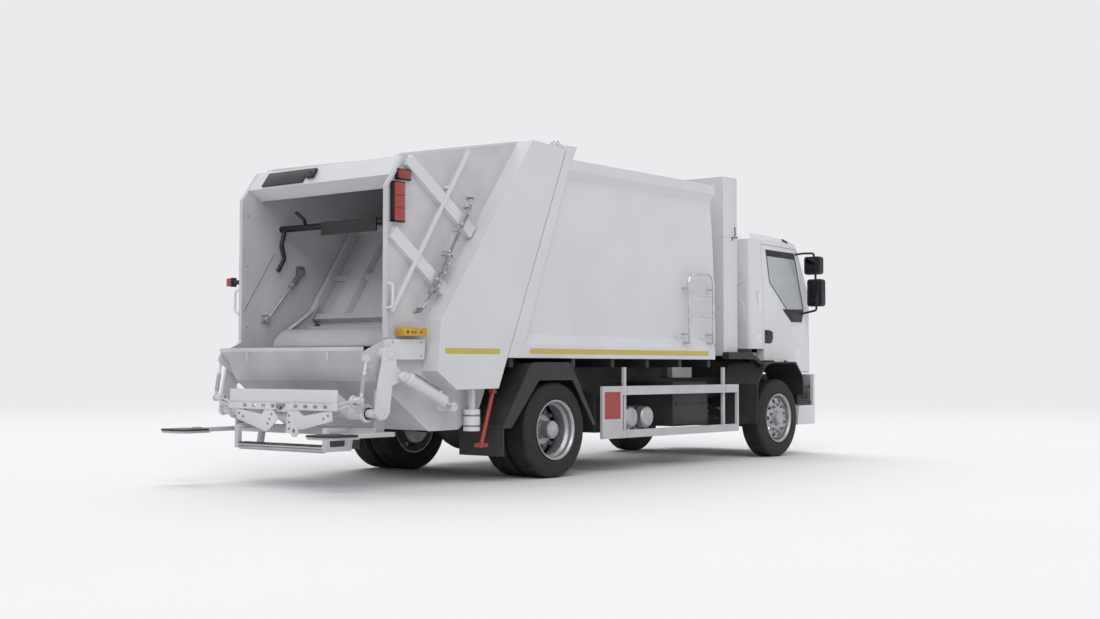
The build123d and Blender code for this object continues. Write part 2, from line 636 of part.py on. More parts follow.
with BuildPart() as packer_carriage:
    for y in (-975, 915):
        slab([on_guide(-60, -60), on_guide(-60, 60), on_guide(1350, 60), on_guide(1350, -60)], y + 60, y)
    slab([on_guide(110, -60), on_guide(110, -48), on_guide(1320, -48), on_guide(1320, -60)], 916, -916)
    for y in (-640, -320, 0, 320, 640):
        slab([on_guide(130, -50), on_guide(130, 20), on_guide(1300, 20), on_guide(1300, -50)],
             y + 20, y - 20)
    for along in (120, 640, 1240):
        slab([on_guide(along, -50), on_guide(along, 30), on_guide(along + 70, 30),
              on_guide(along + 70, -50)], 916, -916)
    cross_bar(*BLADE_PIVOT, 915, -915, 40)
write(packer_carriage, "packer_carriage")

# Packing blade: scoop hinged on the carriage's foot
with BuildPart() as packer_blade:
    for y in (-900, 870):
        slab([(-1290, 1490), (-1315, 1535), (-1380, 1548), (-1560, 1470), (-1820, 1322), (-1822, 1300),
              (-1420, 1360), (-1310, 1420)], y + 30, y)
    slab([(-1440, 1370), (-1820, 1300), (-1822, 1322), (-1440, 1394)], 871, -871)
    slab([(-1440, 1370), (-1440, 1500), (-1424, 1490), (-1424, 1372)], 871, -871)
    for y in (-500, 0, 500):
        slab([(-1440, 1380), (-1440, 1490), (-1700, 1345), (-1700, 1330)], y + 8, y - 8)
    cross_bar(*BLADE_PIVOT, 900, -900, 41.5, mode=Mode.SUBTRACT)
write(packer_blade, "packer_blade")

# Lifter arms joined by the cross tube
ARM_OUTER = 1097
ARM_INNER = 1067
ARM_OUTLINE = [
    (-2225, 1235), (-2200, 1285), (-2130, 1290), (-2088, 1235), (-2075, 1110), (-2000, 1050), (-1985, 1005),
    (-2020, 975), (-2130, 940), (-2160, 700), (-2210, 640), (-2300, 645), (-2330, 690), (-2300, 900),
]
with BuildPart() as lifter_arms:
    slab(ARM_OUTLINE, ARM_OUTER, ARM_INNER)
    cross_bar(*ARM_PIVOT, ARM_OUTER + 1, ARM_INNER - 1, 31, mode=Mode.SUBTRACT)
    mirror(about=Plane.XZ)
    cross_bar(*CROSS_TUBE, ARM_INNER, -ARM_INNER, 40)
    for y in (ARM_OUTER, -ARM_OUTER - 90):
        cross_bar(*LIFT_LUG, y + 90, y, 22)
write(lifter_arms, "lifter_arms")

# Comb carrier that takes the bins: plate, slotted comb and tooth plates
with BuildPart() as comb_carrier:
    block((-2480, -2452), (-730, 730), (790, 893))
    block((-2520, -2478), (-660, 580), (705, 752))
    block((-2500, -2452), (-730, 730), (745, 800))
    for index in range(16):
        y = -620 + index * 80
        block((-2530, -2500), (y - 14, y + 14), (730, 760), mode=Mode.SUBTRACT)
    for y_left, y_right, z_low in ((580, 30, 510), (-220, -730, 480)):
        slab([(-2462, 750), (-2452, 750), (-2440, z_low), (-2450, z_low)], y_left, y_right)
    for y in (-728, -240, 220, 700):
        slab([(-2462, 880), (-2452, 760), (-2320, 650), (-2225, 650), (-2215, 740), (-2300, 780)], y + 28, y)
    cross_bar(*CROSS_TUBE, 740, -740, 41.5, mode=Mode.SUBTRACT)
    for side in (1, -1):
        block((-2462, -2410), sorted((side * 728, side * 950)), (785, 835))
        cross_bar(*STRUT_FOOT, *sorted((side * 948, side * 994), reverse=True), 28)
write(comb_carrier, "comb_carrier")

# Control struts between the hopper's ears and the comb carrier
with BuildPart() as control_struts:
    strip(STRUT_TOP, STRUT_FOOT, 46, 1021, 1001)
    cross_bar(*STRUT_TOP, 1021, 1001, 40)
    cross_bar(*STRUT_FOOT, 1021, 1001, 36)
    cross_bar(*STRUT_TOP, 1030, 990, 21.5, mode=Mode.SUBTRACT)
    cross_bar(*STRUT_FOOT, 1030, 990, 15, mode=Mode.SUBTRACT)
    mirror(about=Plane.XZ)
write(control_struts, "control_struts")

# Lift cylinders: barrels on the arm lugs, rods that reach to the hopper anchors
CYL_RUN = Vector(LIFT_ANCHOR[0] - LIFT_LUG[0], LIFT_ANCHOR[1] - LIFT_LUG[1])
CYL_DIR = CYL_RUN.normalized()
CYL_Y = 1118


def on_cylinder(distance):
    """Side-view point at a distance from the barrel's eye along the cylinder."""
    return (LIFT_LUG[0] + CYL_DIR.X * distance, LIFT_LUG[1] + CYL_DIR.Y * distance)


def cylinder_bar(start, end, radius, mode=Mode.ADD):
    """Round bar on the left cylinder's axis between two distances from the barrel's eye."""
    low = on_cylinder(start)
    high = on_cylinder(end)
    bar((low[0], CYL_Y + 42, low[1]), (high[0], CYL_Y + 42, high[1]), radius, mode)


BARREL_LENGTH = 560
ROD_R = 24
with BuildPart() as lift_barrels:
    cylinder_bar(30, BARREL_LENGTH, 50)
    cross_bar(*LIFT_LUG, CYL_Y + 62, CYL_Y + 24, 42)
    cross_bar(*LIFT_LUG, CYL_Y + 70, CYL_Y, 23.5, mode=Mode.SUBTRACT)
    cylinder_bar(60, BARREL_LENGTH - 40, 40, mode=Mode.SUBTRACT)
    cylinder_bar(60, BARREL_LENGTH + 1, ROD_R + 1, mode=Mode.SUBTRACT)
    mirror(about=Plane.XZ)
write(lift_barrels, "lift_barrels")
with BuildPart() as lift_rods:
    cylinder_bar(100, CYL_RUN.length - 30, ROD_R)
    cylinder_bar(100, 135, 38)
    cross_bar(*LIFT_ANCHOR, CYL_Y + 62, CYL_Y + 22, 40)
    mirror(about=Plane.XZ)
write(lift_rods, "lift_rods")

# Step frame under the hopper: posts, carrier bars and the middle step
with BuildPart() as step_frame:
    for y_left, y_right in ((985, 945), (-945, -985)):
        slab([(-2215, 900), (-2110, 820), (-2120, 483), (-2215, 483)], y_left, y_right)
    block((-2215, -2120), (-985, 985), (483, 560))
    for y_left, y_right in ((1085, 1005), (-1005, -1085)):
        slab([(-2592, 483), (-2080, 483), (-2080, 525), (-2592, 525)], y_left, y_right)
    for side in (1, -1):
        block((-2215, -2120), sorted((side * 945, side * 1085)), (483, 525))
        slab([(-2215, 560), (-2120, 560), (-2150, 480), (-2420, 345), (-2480, 345), (-2480, 375)],
             side * 665 + 8, side * 665 - 8)
    block((-2500, -2400), (-595, 595), (335, 398))
    block((-2480, -2420), (-673, 673), (345, 375))
write(step_frame, "step_frame")

# Footboards hinged on the carrier bars' ends
for side, side_name in ((1, "left"), (-1, "right")):
    with BuildPart() as footboard:
        block((-REAR_OVERHANG, -2602), sorted((side * 830, side * 1215)), (478, 505))
        block((-REAR_OVERHANG + 8, -2610), sorted((side * 838, side * 1207)), (505, 520))
    write(footboard, f"footboard_{side_name}")

# Red safety prop that hangs under the right side box
with BuildPart() as safety_prop:
    bar((-815, -1140, 886), (-980, -1140, 380), 20)
    block((-1040, -930), (-1180, -1100), (345, 384))
    block((-850, -796), (-1165, -1115), (855, 894))
write(safety_prop, "safety_prop")

# Cab: one closed form from its side, front and top outlines, hollowed
CAB_SIDE = [
    (4050, 1335), (4050, 2690), (4130, 2774), (5000, 2741), (5160, 2690), (5225, 2600), (5560, 1800),
    (5640, 1450), (5650, 1040), (5010, 1040), (4870, 1185), (4310, 1185), (4310, 1335),
]


def cab_form(shrink=0):
    """Cab body as one solid, drawn in by shrink on every side but open to the floor."""
    with BuildPart() as form:
        slab(CAB_SIDE, CAB_HALF, -CAB_HALF, shrink=shrink)
        with BuildSketch(cross_plane(3900)) as front_view:
            with BuildLine():
                Polyline((0, 900), (CAB_HALF - shrink, 900), (CAB_HALF - shrink, 1850),
                         (CAB_HALF - 45 - shrink, 2700), (CAB_HALF - 110 - shrink, 2790), (0, 2790))
                mirror(about=Plane.YZ)
            make_face()
        extrude(front_view.sketch, amount=2000, mode=Mode.INTERSECT)
        with BuildSketch(level_plane(900)) as top_view:
            with Locations(((4050 + 5450) / 2 + shrink / 2, 0)):
                Rectangle(1400 - shrink, 2 * (CAB_HALF - shrink))
            with BuildLine():
                Polyline((5449, -CAB_HALF + shrink), (5449, CAB_HALF - shrink))
                ThreePointArc((5449, CAB_HALF - shrink), (5560 - shrink / 2, 980 - shrink),
                              (5600 - shrink, 800))
                ThreePointArc((5600 - shrink, 800), (5650 - shrink, 0), (5600 - shrink, -800))
                ThreePointArc((5600 - shrink, -800), (5560 - shrink / 2, -980 + shrink),
                              (5449, -CAB_HALF + shrink))
            make_face()
            corners = top_view.vertices().group_by(Axis.X)[0]
            fillet(corners, 90 - shrink)
        extrude(top_view.sketch, amount=2000, mode=Mode.INTERSECT)
    return form.part


DOOR_OUTLINE = [
    (4315, 1192), (4315, 2640), (5175, 2618), (5352, 1850), (5440, 1450), (5440, 1050), (5014, 1050),
    (4874, 1192),
]
SIDE_WINDOW = [(4428, 2574), (5130, 2566), (5307, 1849), (4886, 1836), (4484, 2168)]
cab_outer = cab_form()
cab_inner = cab_form(CAB_WALL)
cab_glass_inner = cab_form(6)
with BuildPart() as cab_shell:
    add(cab_outer)
    add(cab_inner, mode=Mode.SUBTRACT)
    # Door openings
    for y_left, y_right in ((1200, 900), (-900, -1200)):
        with BuildSketch(side_plane(y_left)) as opening:
            with BuildLine():
                Polyline(*DOOR_OUTLINE, close=True)
            make_face()
            offset(amount=6, kind=Kind.INTERSECTION, mode=Mode.REPLACE)
        extrude(opening.sketch, amount=300, mode=Mode.SUBTRACT)
        slab([(4309, 1000), (5446, 1000), (5446, 1250), (4309, 1250)], y_left, y_right, mode=Mode.SUBTRACT)
    # Windscreen opening, over the grille panel
    with BuildSketch(cross_plane(5150)) as screen:
        with BuildLine():
            Polyline((0, 1830), (985, 1830), (930, 2620), (0, 2620))
            mirror(about=Plane.YZ)
        make_face()
    extrude(screen.sketch, amount=600, mode=Mode.SUBTRACT)
    # Grille opening
    block((5500, 5700), (-770, 770), (1070, 1690), mode=Mode.SUBTRACT)
    # Open underside, then the floor with its raised engine tunnel
    block((4000, 5540), (-990, 990), (1000, 1250), mode=Mode.SUBTRACT)
    for side in (1, -1):
        block((4090, 5560), sorted((side * 460, side * 990)), (1250, 1290))
        block((4090, 5560), sorted((side * 460, side * 500)), (1250, 1440))
    block((4090, 5560), (-500, 500), (1400, 1440))
    # Embossed panels of the back wall
    for side in (1, -1):
        for z in (1780, 2290):
            with BuildSketch(cross_plane(4040)) as emboss:
                with Locations((side * 800, z)):
                    RectangleRounded(360, 340, 120)
            extrude(emboss.sketch, amount=20)
write(cab_shell, "cab_shell")
with BuildPart() as windscreen:
    add(cab_outer)
    add(cab_glass_inner, mode=Mode.SUBTRACT)
    with BuildSketch(cross_plane(5150)) as screen:
        with BuildLine():
            Polyline((0, 1832), (983, 1832), (928, 2618), (0, 2618))
            mirror(about=Plane.YZ)
        make_face()
    extrude(screen.sketch, amount=600, mode=Mode.INTERSECT)
write(windscreen, "windscreen")

# Doors with their panes, handles and mirrors
for side, side_name in ((1, "left"), (-1, "right")):
    y_limits = sorted((side * 1200, side * 900), reverse=True)
    door_limits = sorted((side * 1200, side * 996), reverse=True)
    with BuildPart() as door:
        add(cab_outer)
        add(cab_inner, mode=Mode.SUBTRACT)
        slab(DOOR_OUTLINE, *door_limits, mode=Mode.INTERSECT)
        slab(SIDE_WINDOW, *y_limits, mode=Mode.SUBTRACT)
    write(door, f"door_{side_name}")
    with BuildPart() as pane:
        add(cab_outer)
        add(cab_glass_inner, mode=Mode.SUBTRACT)
        slab(SIDE_WINDOW, *y_limits, mode=Mode.INTERSECT, shrink=1)
    write(pane, f"door_glass_{side_name}")
    with BuildPart() as mirror_set:
        block((5240, 5330), sorted((side * 1153, side * 1383)), (2300, 2530))
        block((5240, 5330), sorted((side * 1195, side * 1409)), (1888, 2238))
        fillet(mirror_set.edges().filter_by(Axis.X), 35)
        tube_path([(5165, side * 1062, 2560), (5230, side * 1150, 2575), (5290, side * 1268, 2575),
                   (5290, side * 1268, 2500)], 30, 14)
        bar((5290, side * 1290, 2305), (5290, side * 1290, 2230), 14)
        tube_path([(5290, side * 1300, 1895), (5290, side * 1300, 1840), (5280, side * 1100, 1800)], 30, 14)
        slab([(5000, 1840), (5290, 1846), (5240, 1700), (5050, 1694)], *sorted((side * 1100, side * 1112),
                                                                            reverse=True))
        add(cab_outer, mode=Mode.SUBTRACT)
    write(mirror_set, f"mirror_{side_name}")

# Front grille panel: dark slats below the windscreen
with BuildPart() as grille:
    block((5560, 5574), (-768, 768), (1072, 1688))
    for index in range(6):
        z = 1095 + index * 98
        block((5574, 5632 - 6 * index), (-768, 768), (z, z + 40))
write(grille, "grille")

# Bumper with the entry steps behind its corners
with BuildPart() as bumper:
    with BuildSketch(level_plane(378)) as bumper_plan:
        with BuildLine():
            Polyline((5062, 1145), (5480, 1145))
            ThreePointArc((5480, 1145), (5620, 1080), (5690, 900))
            ThreePointArc((5690, 900), (WHEELBASE + FRONT_OVERHANG, 0), (5690, -900))
            ThreePointArc((5690, -900), (5620, -1080), (5480, -1145))
            Polyline((5480, -1145), (5062, -1145), (5062, 1145))
        make_face()
    extrude(bumper_plan.sketch, amount=640)
    block((5000, 5480), (-1200, 1200), (620, 1100), mode=Mode.SUBTRACT)
    block((5000, 5600), (-800, 800), (300, 1100), mode=Mode.SUBTRACT)
    slab([(5000, 300), (5000, 640), (5110, 640), (5062, 378), (5062, 300)], 1200, -1200, mode=Mode.SUBTRACT)
    block((5470, 5600), (-1100, 1100), (390, 1030), mode=Mode.SUBTRACT)
    for side in (1, -1):
        block((5130, 5470), sorted((side * 800, side * 1090)), (440, 600), mode=Mode.SUBTRACT)
        with BuildSketch(cross_plane(5590)) as pocket:
            with Locations((side * 830, 780)):
                RectangleRounded(334, 184, 42)
        extrude(pocket.sketch, amount=150, mode=Mode.SUBTRACT)
    with BuildSketch(cross_plane(5590)) as tow_hole:
        with Locations((TOW_Y, TOW_Z)):
            RectangleRounded(140, 110, 20)
    extrude(tow_hole.sketch, amount=200, mode=Mode.SUBTRACT)
write(bumper, "bumper")
with BuildPart() as entry_steps:
    for side in (1, -1):
        block((5120, 5465), sorted((side * 800, side * 1120)), (640, 675))
        block((5120, 5465), sorted((side * 800, side * 1110)), (840, 875))
        block((5120, 5465), sorted((side * 790, side * 802)), (640, 1030))
        block((5120, 5132), sorted((side * 800, side * 1110)), (640, 1030))
write(entry_steps, "entry_steps")

# Lamps in the bumper's corners
with BuildPart() as head_lamps:
    for side in (1, -1):
        with BuildSketch(cross_plane(5600)) as lamp:
            with Locations((side * 830, 780)):
                RectangleRounded(330, 180, 40)
        extrude(lamp.sketch, amount=113)
write(head_lamps, "head_lamps")

# Seats: driver's and a double one for the crew
SEAT_ROWS = (
    # y centre, width, y centre of the base
    (620, 480, 620),
    (-560, 760, -640),
)
with BuildPart() as cab_seats:
    for seat_y, width, base_y in SEAT_ROWS:
        y_limits = (seat_y + width / 2, seat_y - width / 2)
        slab([(4330, 1480), (4850, 1500), (4860, 1620), (4350, 1600)], *y_limits)
        slab([(4350, 1590), (4330, 1480), (4230, 1500), (4130, 2230), (4230, 2250)], *y_limits)
        block((4400, 4800), (base_y - 110, base_y + 110), (1292, 1490))
write(cab_seats, "cab_seats")
with BuildPart() as dashboard:
    slab([(5180, 1500), (5150, 1760), (5300, 1810), (5450, 1780), (5500, 1500)], 1000, -1000)
    # Steering wheel on its column
    wheel_plane = Plane(origin=at(5020, 620, 1840), z_dir=(-0.5, 0, 0.87))
    with BuildSketch(wheel_plane) as wheel_ring:
        Circle(215)
        Circle(185, mode=Mode.SUBTRACT)
    extrude(wheel_ring.sketch, amount=28)
    with BuildSketch(wheel_plane) as spokes:
        Rectangle(60, 390)
        Rectangle(390, 60)
    extrude(spokes.sketch, amount=20)
    bar((5020, 620, 1845), (5190, 620, 1590), 28)
write(dashboard, "dashboard")
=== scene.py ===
"""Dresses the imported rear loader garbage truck: finishes for its panels, treaded tyres, lamps, tapes,
cab fittings, hydraulics and a pale studio. Metres; +X to the cab, +Y to the left side and +Z up.
"""
import json
from math import cos, pi, radians, sin, tau

import bpy
from mathutils import Matrix, Vector


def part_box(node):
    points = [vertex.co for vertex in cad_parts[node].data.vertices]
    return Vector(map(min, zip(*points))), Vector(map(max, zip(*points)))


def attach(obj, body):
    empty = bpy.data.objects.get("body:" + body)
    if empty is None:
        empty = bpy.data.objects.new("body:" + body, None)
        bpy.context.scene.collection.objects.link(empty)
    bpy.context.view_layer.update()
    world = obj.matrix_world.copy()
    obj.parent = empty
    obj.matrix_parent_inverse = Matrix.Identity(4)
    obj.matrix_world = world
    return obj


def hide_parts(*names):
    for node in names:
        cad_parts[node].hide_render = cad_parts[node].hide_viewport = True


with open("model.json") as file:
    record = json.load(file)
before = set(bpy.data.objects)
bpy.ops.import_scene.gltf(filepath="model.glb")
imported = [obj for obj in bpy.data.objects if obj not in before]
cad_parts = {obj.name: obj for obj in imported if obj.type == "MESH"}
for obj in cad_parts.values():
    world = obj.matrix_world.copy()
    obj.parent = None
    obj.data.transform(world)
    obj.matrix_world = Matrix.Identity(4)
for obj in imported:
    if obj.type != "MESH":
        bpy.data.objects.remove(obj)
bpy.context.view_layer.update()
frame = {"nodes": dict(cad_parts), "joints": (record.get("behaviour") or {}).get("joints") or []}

bl_info = {
    "name": "Rear loader garbage truck",
    "version": (1, 0, 0),
    "blender": (4, 5, 0),
    "location": "View3D > Sidebar > Truck",
    "description": "Models the small fittings and finishes of a rear loader garbage truck",
    "category": "Object",
}

JOINTS = {joint["name"]: joint for joint in frame["joints"]}
AXLE_X = JOINTS["spin_rear_left"]["pos_m"][0]
FRONT_AXLE_X = JOINTS["spin_front_left"]["pos_m"][0]
WHEEL_Z = JOINTS["spin_rear_left"]["pos_m"][2]
MM = 0.001
SIDES = ((1, "left"), (-1, "right"))
HUB_Z = 480
# Angle in degrees past which an edge counts as sharp
SHARP = 50


def at(x, y, z):
    """Point in the frame, from millimetres with x counted from the rear axle."""
    return Vector((AXLE_X + x * MM, y * MM, z * MM))


# Materials

def linear(hex_colour):
    """Linear RGBA of an sRGB colour such as "#D8D9DB"."""
    values = [int(hex_colour[i:i + 2], 16) / 255 for i in (1, 3, 5)]
    return tuple(v / 12.92 if v <= 0.04045 else ((v + 0.055) / 1.055) ** 2.4 for v in values) + (1.0,)


def node(tree, kind, sockets=None, **settings):
    """Add a node; sockets gives its inputs a plain value or another node's output to link."""
    made = tree.nodes.new(kind)
    for name, value in settings.items():
        setattr(made, name, value)
    for key, value in (sockets or {}).items():
        if isinstance(value, bpy.types.NodeSocket):
            tree.links.new(value, made.inputs[key])
        else:
            made.inputs[key].default_value = value
    return made


def start_finish(name, **plain):
    """New material with its shader; plain numbers go on the shader's own sockets."""
    material = bpy.data.materials.new(name)
    material.use_nodes = True
    tree = material.node_tree
    tree.nodes.clear()
    shader = node(tree, "ShaderNodeBsdfPrincipled",
                  {key.replace("_", " "): value for key, value in plain.items()})
    node(tree, "ShaderNodeOutputMaterial", {"Surface": shader.outputs["BSDF"]})
    place = node(tree, "ShaderNodeTexCoord").outputs["Object"]
    return material, tree, shader, place


def weather(tree, shader, place, light, dark, patch_mm, grain_mm, bump_mm, rough, dust=0.0, edge_mm=0.0):
    """Cloudy colour, uneven sheen and a fine grain; dust settles low, and edges are rounded by edge_mm."""
    patches = node(tree, "ShaderNodeTexNoise", {"Vector": place, "Scale": 1000 / patch_mm, "Detail": 4.0})
    spread = node(tree, "ShaderNodeMapRange", {"Value": patches.outputs["Fac"],
                                               "From Min": 0.35, "From Max": 0.65})
    colour = node(tree, "ShaderNodeMix", {"Factor": spread.outputs[0], 6: linear(light), 7: linear(dark)},
                  data_type="RGBA").outputs[2]
    if dust:
        height = node(tree, "ShaderNodeSeparateXYZ", {"Vector": place}).outputs["Z"]
        low = node(tree, "ShaderNodeMapRange", {"Value": height, "From Min": DUST_TOP, "From Max": DUST_FULL,
                                                "To Max": dust}).outputs[0]
        film = node(tree, "ShaderNodeMath", {0: low, 1: spread.outputs[0]}, operation="MULTIPLY").outputs[0]
        colour = node(tree, "ShaderNodeMix", {"Factor": film, 6: colour, 7: linear(ROAD_DUST)},
                      data_type="RGBA").outputs[2]
    grain = node(tree, "ShaderNodeTexNoise", {"Vector": place, "Scale": 1000 / grain_mm, "Detail": 3.0})
    sheen = node(tree, "ShaderNodeMapRange", {"Value": patches.outputs["Fac"],
                                              "From Min": 0.3, "From Max": 0.7,
                                              "To Min": rough[0], "To Max": rough[1]})
    bump = node(tree, "ShaderNodeBump", {"Height": grain.outputs["Fac"], "Strength": 0.6,
                                         "Distance": bump_mm * MM})
    if edge_mm:
        edge = node(tree, "ShaderNodeBevel", {"Radius": edge_mm * MM}, samples=4)
        tree.links.new(edge.outputs[0], bump.inputs["Normal"])
    tree.links.new(colour, shader.inputs["Base Color"])
    tree.links.new(sheen.outputs[0], shader.inputs["Roughness"])
    tree.links.new(bump.outputs[0], shader.inputs["Normal"])
    return colour, bump


ROAD_DUST = "#A8A297"
# Heights in metres where the dust begins and where it is thickest
DUST_TOP = 1.5
DUST_FULL = 0.3

FINISHES = (
    # name, light, dark, metallic, patch mm, grain mm, bump mm, roughness low and high, dust, edge mm
    # Sprayed and baked enamels: even and half glossy, duller where refuse has rubbed them
    ("coach_enamel", "#DCDDE0", "#D8D9DC", 0.0, 620, 14, 0.10, 0.30, 0.40, 0.12, 4),
    ("cab_enamel", "#DFE0E3", "#DBDCDF", 0.0, 700, 12, 0.06, 0.20, 0.28, 0.1, 5),
    ("worn_hopper_enamel", "#CFD0D3", "#C2C3C6", 0.0, 420, 22, 0.30, 0.42, 0.58, 0.12, 3),
    ("pale_grey_enamel", "#C6C7CA", "#BFC0C3", 0.0, 300, 10, 0.08, 0.34, 0.46, 0.12, 3),
    # Thick chassis paint and thin black enamel: near black, the first rough, the second shiny
    ("chassis_paint", "#2A2A2C", "#212123", 0.0, 180, 9, 0.25, 0.45, 0.65, 0.12, 3),
    ("black_enamel", "#1D1D1F", "#151517", 0.0, 200, 8, 0.10, 0.32, 0.46, 0.2, 2),
    # Moulded polypropylene: dull black with a fine leathery grain
    ("moulded_black_plastic", "#262628", "#202022", 0.0, 260, 3, 0.18, 0.48, 0.62, 0.08, 4),
    # Bare metals: cloudy zinc plate, clear polished steel, and pale aluminium, spun or forged
    ("zinc_plated_steel", "#8F9194", "#77797C", 0.6, 60, 5, 0.06, 0.30, 0.45, 0.0, 1),
    ("polished_steel", "#D6D7DA", "#C2C3C7", 1.0, 90, 4, 0.02, 0.14, 0.24, 0.0, 1),
    ("tank_aluminium", "#B9BBBE", "#ABADB0", 0.8, 150, 6, 0.10, 0.34, 0.46, 0.08, 2),
    ("forged_aluminium", "#B9BABD", "#A9AAAD", 0.7, 80, 5, 0.05, 0.38, 0.50, 0.05, 2),
    # Sprayed red, grained trim, moulded yellow, smooth vinyl film, matt rubber and fresh zinc
    ("red_enamel", "#B0302A", "#98231F", 0.0, 120, 8, 0.08, 0.34, 0.46, 0.2, 2),
    ("trim_plastic", "#3B3C3E", "#313234", 0.0, 200, 3, 0.20, 0.55, 0.68, 0.0, 4),
    ("yellow_plastic", "#D3A72E", "#C29523", 0.0, 70, 4, 0.08, 0.40, 0.52, 0.1, 2),
    ("blank_label_film", "#E9E9EA", "#E2E2E4", 0.0, 90, 3, 0.02, 0.30, 0.38, 0.0, 0),
    ("black_rubber", "#1B1B1C", "#232325", 0.0, 110, 4, 0.25, 0.62, 0.78, 0.25, 2),
    ("bright_zinc", "#B9BBBE", "#A6A8AB", 0.5, 60, 5, 0.05, 0.28, 0.40, 0.0, 1),
)


def make_finishes():
    """The plain coated and metal finishes, one material for each row of the table."""
    made = {}
    for name, light, dark, metallic, patch, grain, bump, low, high, dust, edge in FINISHES:
        material, tree, shader, place = start_finish(name, Metallic=metallic)
        weather(tree, shader, place, light, dark, patch, grain, bump, (low, high), dust, edge)
        made[name] = material
    return made


def tyre_rubber():
    """Vulcanised rubber: near black, dull, with a fine moulded grain and road dust low down."""
    material, tree, shader, place = start_finish("tyre_rubber", Specular_IOR_Level=0.35)
    weather(tree, shader, place, "#212122", "#191919", 140, 4, 0.25, (0.62, 0.80), 0.07, 0)
    return material


def cab_glass():
    """Thin safety glass, smooth so that it mirrors the room; its pale, slightly green colour, laid on at half
    opacity, is a painted reflection of the bright room.
    """
    material, tree, shader, place = start_finish("cab_glass", Roughness=0.03, IOR=1.45, Alpha=0.45)
    # Painted reflection: cloudy pale patches that stand in for the bright room seen in the glass
    shade = node(tree, "ShaderNodeTexNoise", {"Vector": place, "Scale": 3.0, "Detail": 1.0})
    colour = node(tree, "ShaderNodeMix", {"Factor": shade.outputs["Fac"], 6: linear("#D6DBDC"),
                                          7: linear("#CDD2D3")}, data_type="RGBA")
    tree.links.new(colour.outputs[2], shader.inputs["Base Color"])
    return material


def lamp_lens(name, crease_shade, crown_highlight, cell_mm):
    """Moulded acrylic lens: glossy skin over a grid of small domes that catch the light, with a painted
    highlight on each crown and painted shade in the creases between them.
    """
    material, tree, shader, place = start_finish(name, Roughness=0.12, Coat_Weight=0.6, Coat_Roughness=0.05)
    cells = node(tree, "ShaderNodeTexVoronoi", {"Vector": place, "Scale": 1000 / cell_mm, "Randomness": 0.0})
    spread = node(tree, "ShaderNodeMapRange", {"Value": cells.outputs["Distance"], "From Max": 0.7})
    # Painted highlight in the middle of each dome, fading to painted shade at its edges
    colour = node(tree, "ShaderNodeMix", {"Factor": spread.outputs[0], 6: linear(crown_highlight), 7: linear(crease_shade)},
                  data_type="RGBA")
    bump = node(tree, "ShaderNodeBump", {"Height": cells.outputs["Distance"], "Strength": 0.5,
                                         "Distance": 2 * MM}, invert=True)
    tree.links.new(colour.outputs[2], shader.inputs["Base Color"])
    tree.links.new(bump.outputs[0], shader.inputs["Normal"])
    return material


def reflective_tape(name, film, cell):
    """Prismatic tape: a glossy film over a fine net of sealed cells, 4 mm apart, drawn at 8 mm."""
    material, tree, shader, place = start_finish(name, Roughness=0.3, Coat_Weight=0.4, Coat_Roughness=0.15)
    net = node(tree, "ShaderNodeTexVoronoi", {"Vector": place, "Scale": 125.0, "Randomness": 0.1},
               feature="DISTANCE_TO_EDGE")
    lines = node(tree, "ShaderNodeMapRange", {"Value": net.outputs["Distance"], "From Max": 0.12})
    colour = node(tree, "ShaderNodeMix", {"Factor": lines.outputs[0], 6: linear(cell), 7: linear(film)},
                  data_type="RGBA")
    tree.links.new(colour.outputs[2], shader.inputs["Base Color"])
    return material


def tread_coating():
    """Pale enamel frame under a black anti-slip tread, which starts at the board's own height."""
    material, tree, shader, place = start_finish("anti_slip_tread")
    colour, bump = weather(tree, shader, place, "#C9CACD", "#BEBFC2", 200, 8, 0.1, (0.5, 0.7), 0.1, 2)
    height = node(tree, "ShaderNodeSeparateXYZ", {"Vector": place}).outputs["Z"]
    top = node(tree, "ShaderNodeMath", {0: height, 1: 503.5 * MM}, operation="GREATER_THAN").outputs[0]
    grit = node(tree, "ShaderNodeTexNoise", {"Vector": place, "Scale": 160.0})
    black = node(tree, "ShaderNodeMix", {"Factor": grit.outputs["Fac"], 6: linear("#18181A"),
                                         7: linear("#2A2A2C")}, data_type="RGBA").outputs[2]
    both = node(tree, "ShaderNodeMix", {"Factor": top, 6: colour, 7: black}, data_type="RGBA").outputs[2]
    tree.links.new(both, shader.inputs["Base Color"])
    return material


def woven_cloth():
    """Woven seat cloth: crossing threads 2 mm apart, drawn at 6 mm, with a soft sheen."""
    material, tree, shader, place = start_finish("woven_seat_cloth", Roughness=0.9, Sheen_Weight=0.4)
    warp = node(tree, "ShaderNodeTexWave", {"Vector": place, "Scale": 40.0, "Distortion": 0.4},
                bands_direction="Y")
    weft = node(tree, "ShaderNodeTexWave", {"Vector": place, "Scale": 40.0, "Distortion": 0.4},
                bands_direction="Z")
    both = node(tree, "ShaderNodeMath", {0: warp.outputs["Fac"], 1: weft.outputs["Fac"]},
                operation="MULTIPLY")
    colour = node(tree, "ShaderNodeMix", {"Factor": both.outputs[0], 6: linear("#26282C"),
                                          7: linear("#3C3F45")}, data_type="RGBA")
    bump = node(tree, "ShaderNodeBump", {"Height": both.outputs[0], "Strength": 0.4, "Distance": 0.6 * MM})
    tree.links.new(colour.outputs[2], shader.inputs["Base Color"])
    tree.links.new(bump.outputs[0], shader.inputs["Normal"])
    return material


def mirror_glass():
    """Silvered glass of the rear view mirrors."""
    material, tree, shader, place = start_finish("mirror_glass", Metallic=1.0, Roughness=0.04)
    haze = node(tree, "ShaderNodeTexNoise", {"Vector": place, "Scale": 20.0})
    colour = node(tree, "ShaderNodeMix", {"Factor": haze.outputs["Fac"], 6: linear("#3E4144"),
                                          7: linear("#35383B")}, data_type="RGBA")
    tree.links.new(colour.outputs[2], shader.inputs["Base Color"])
    return material


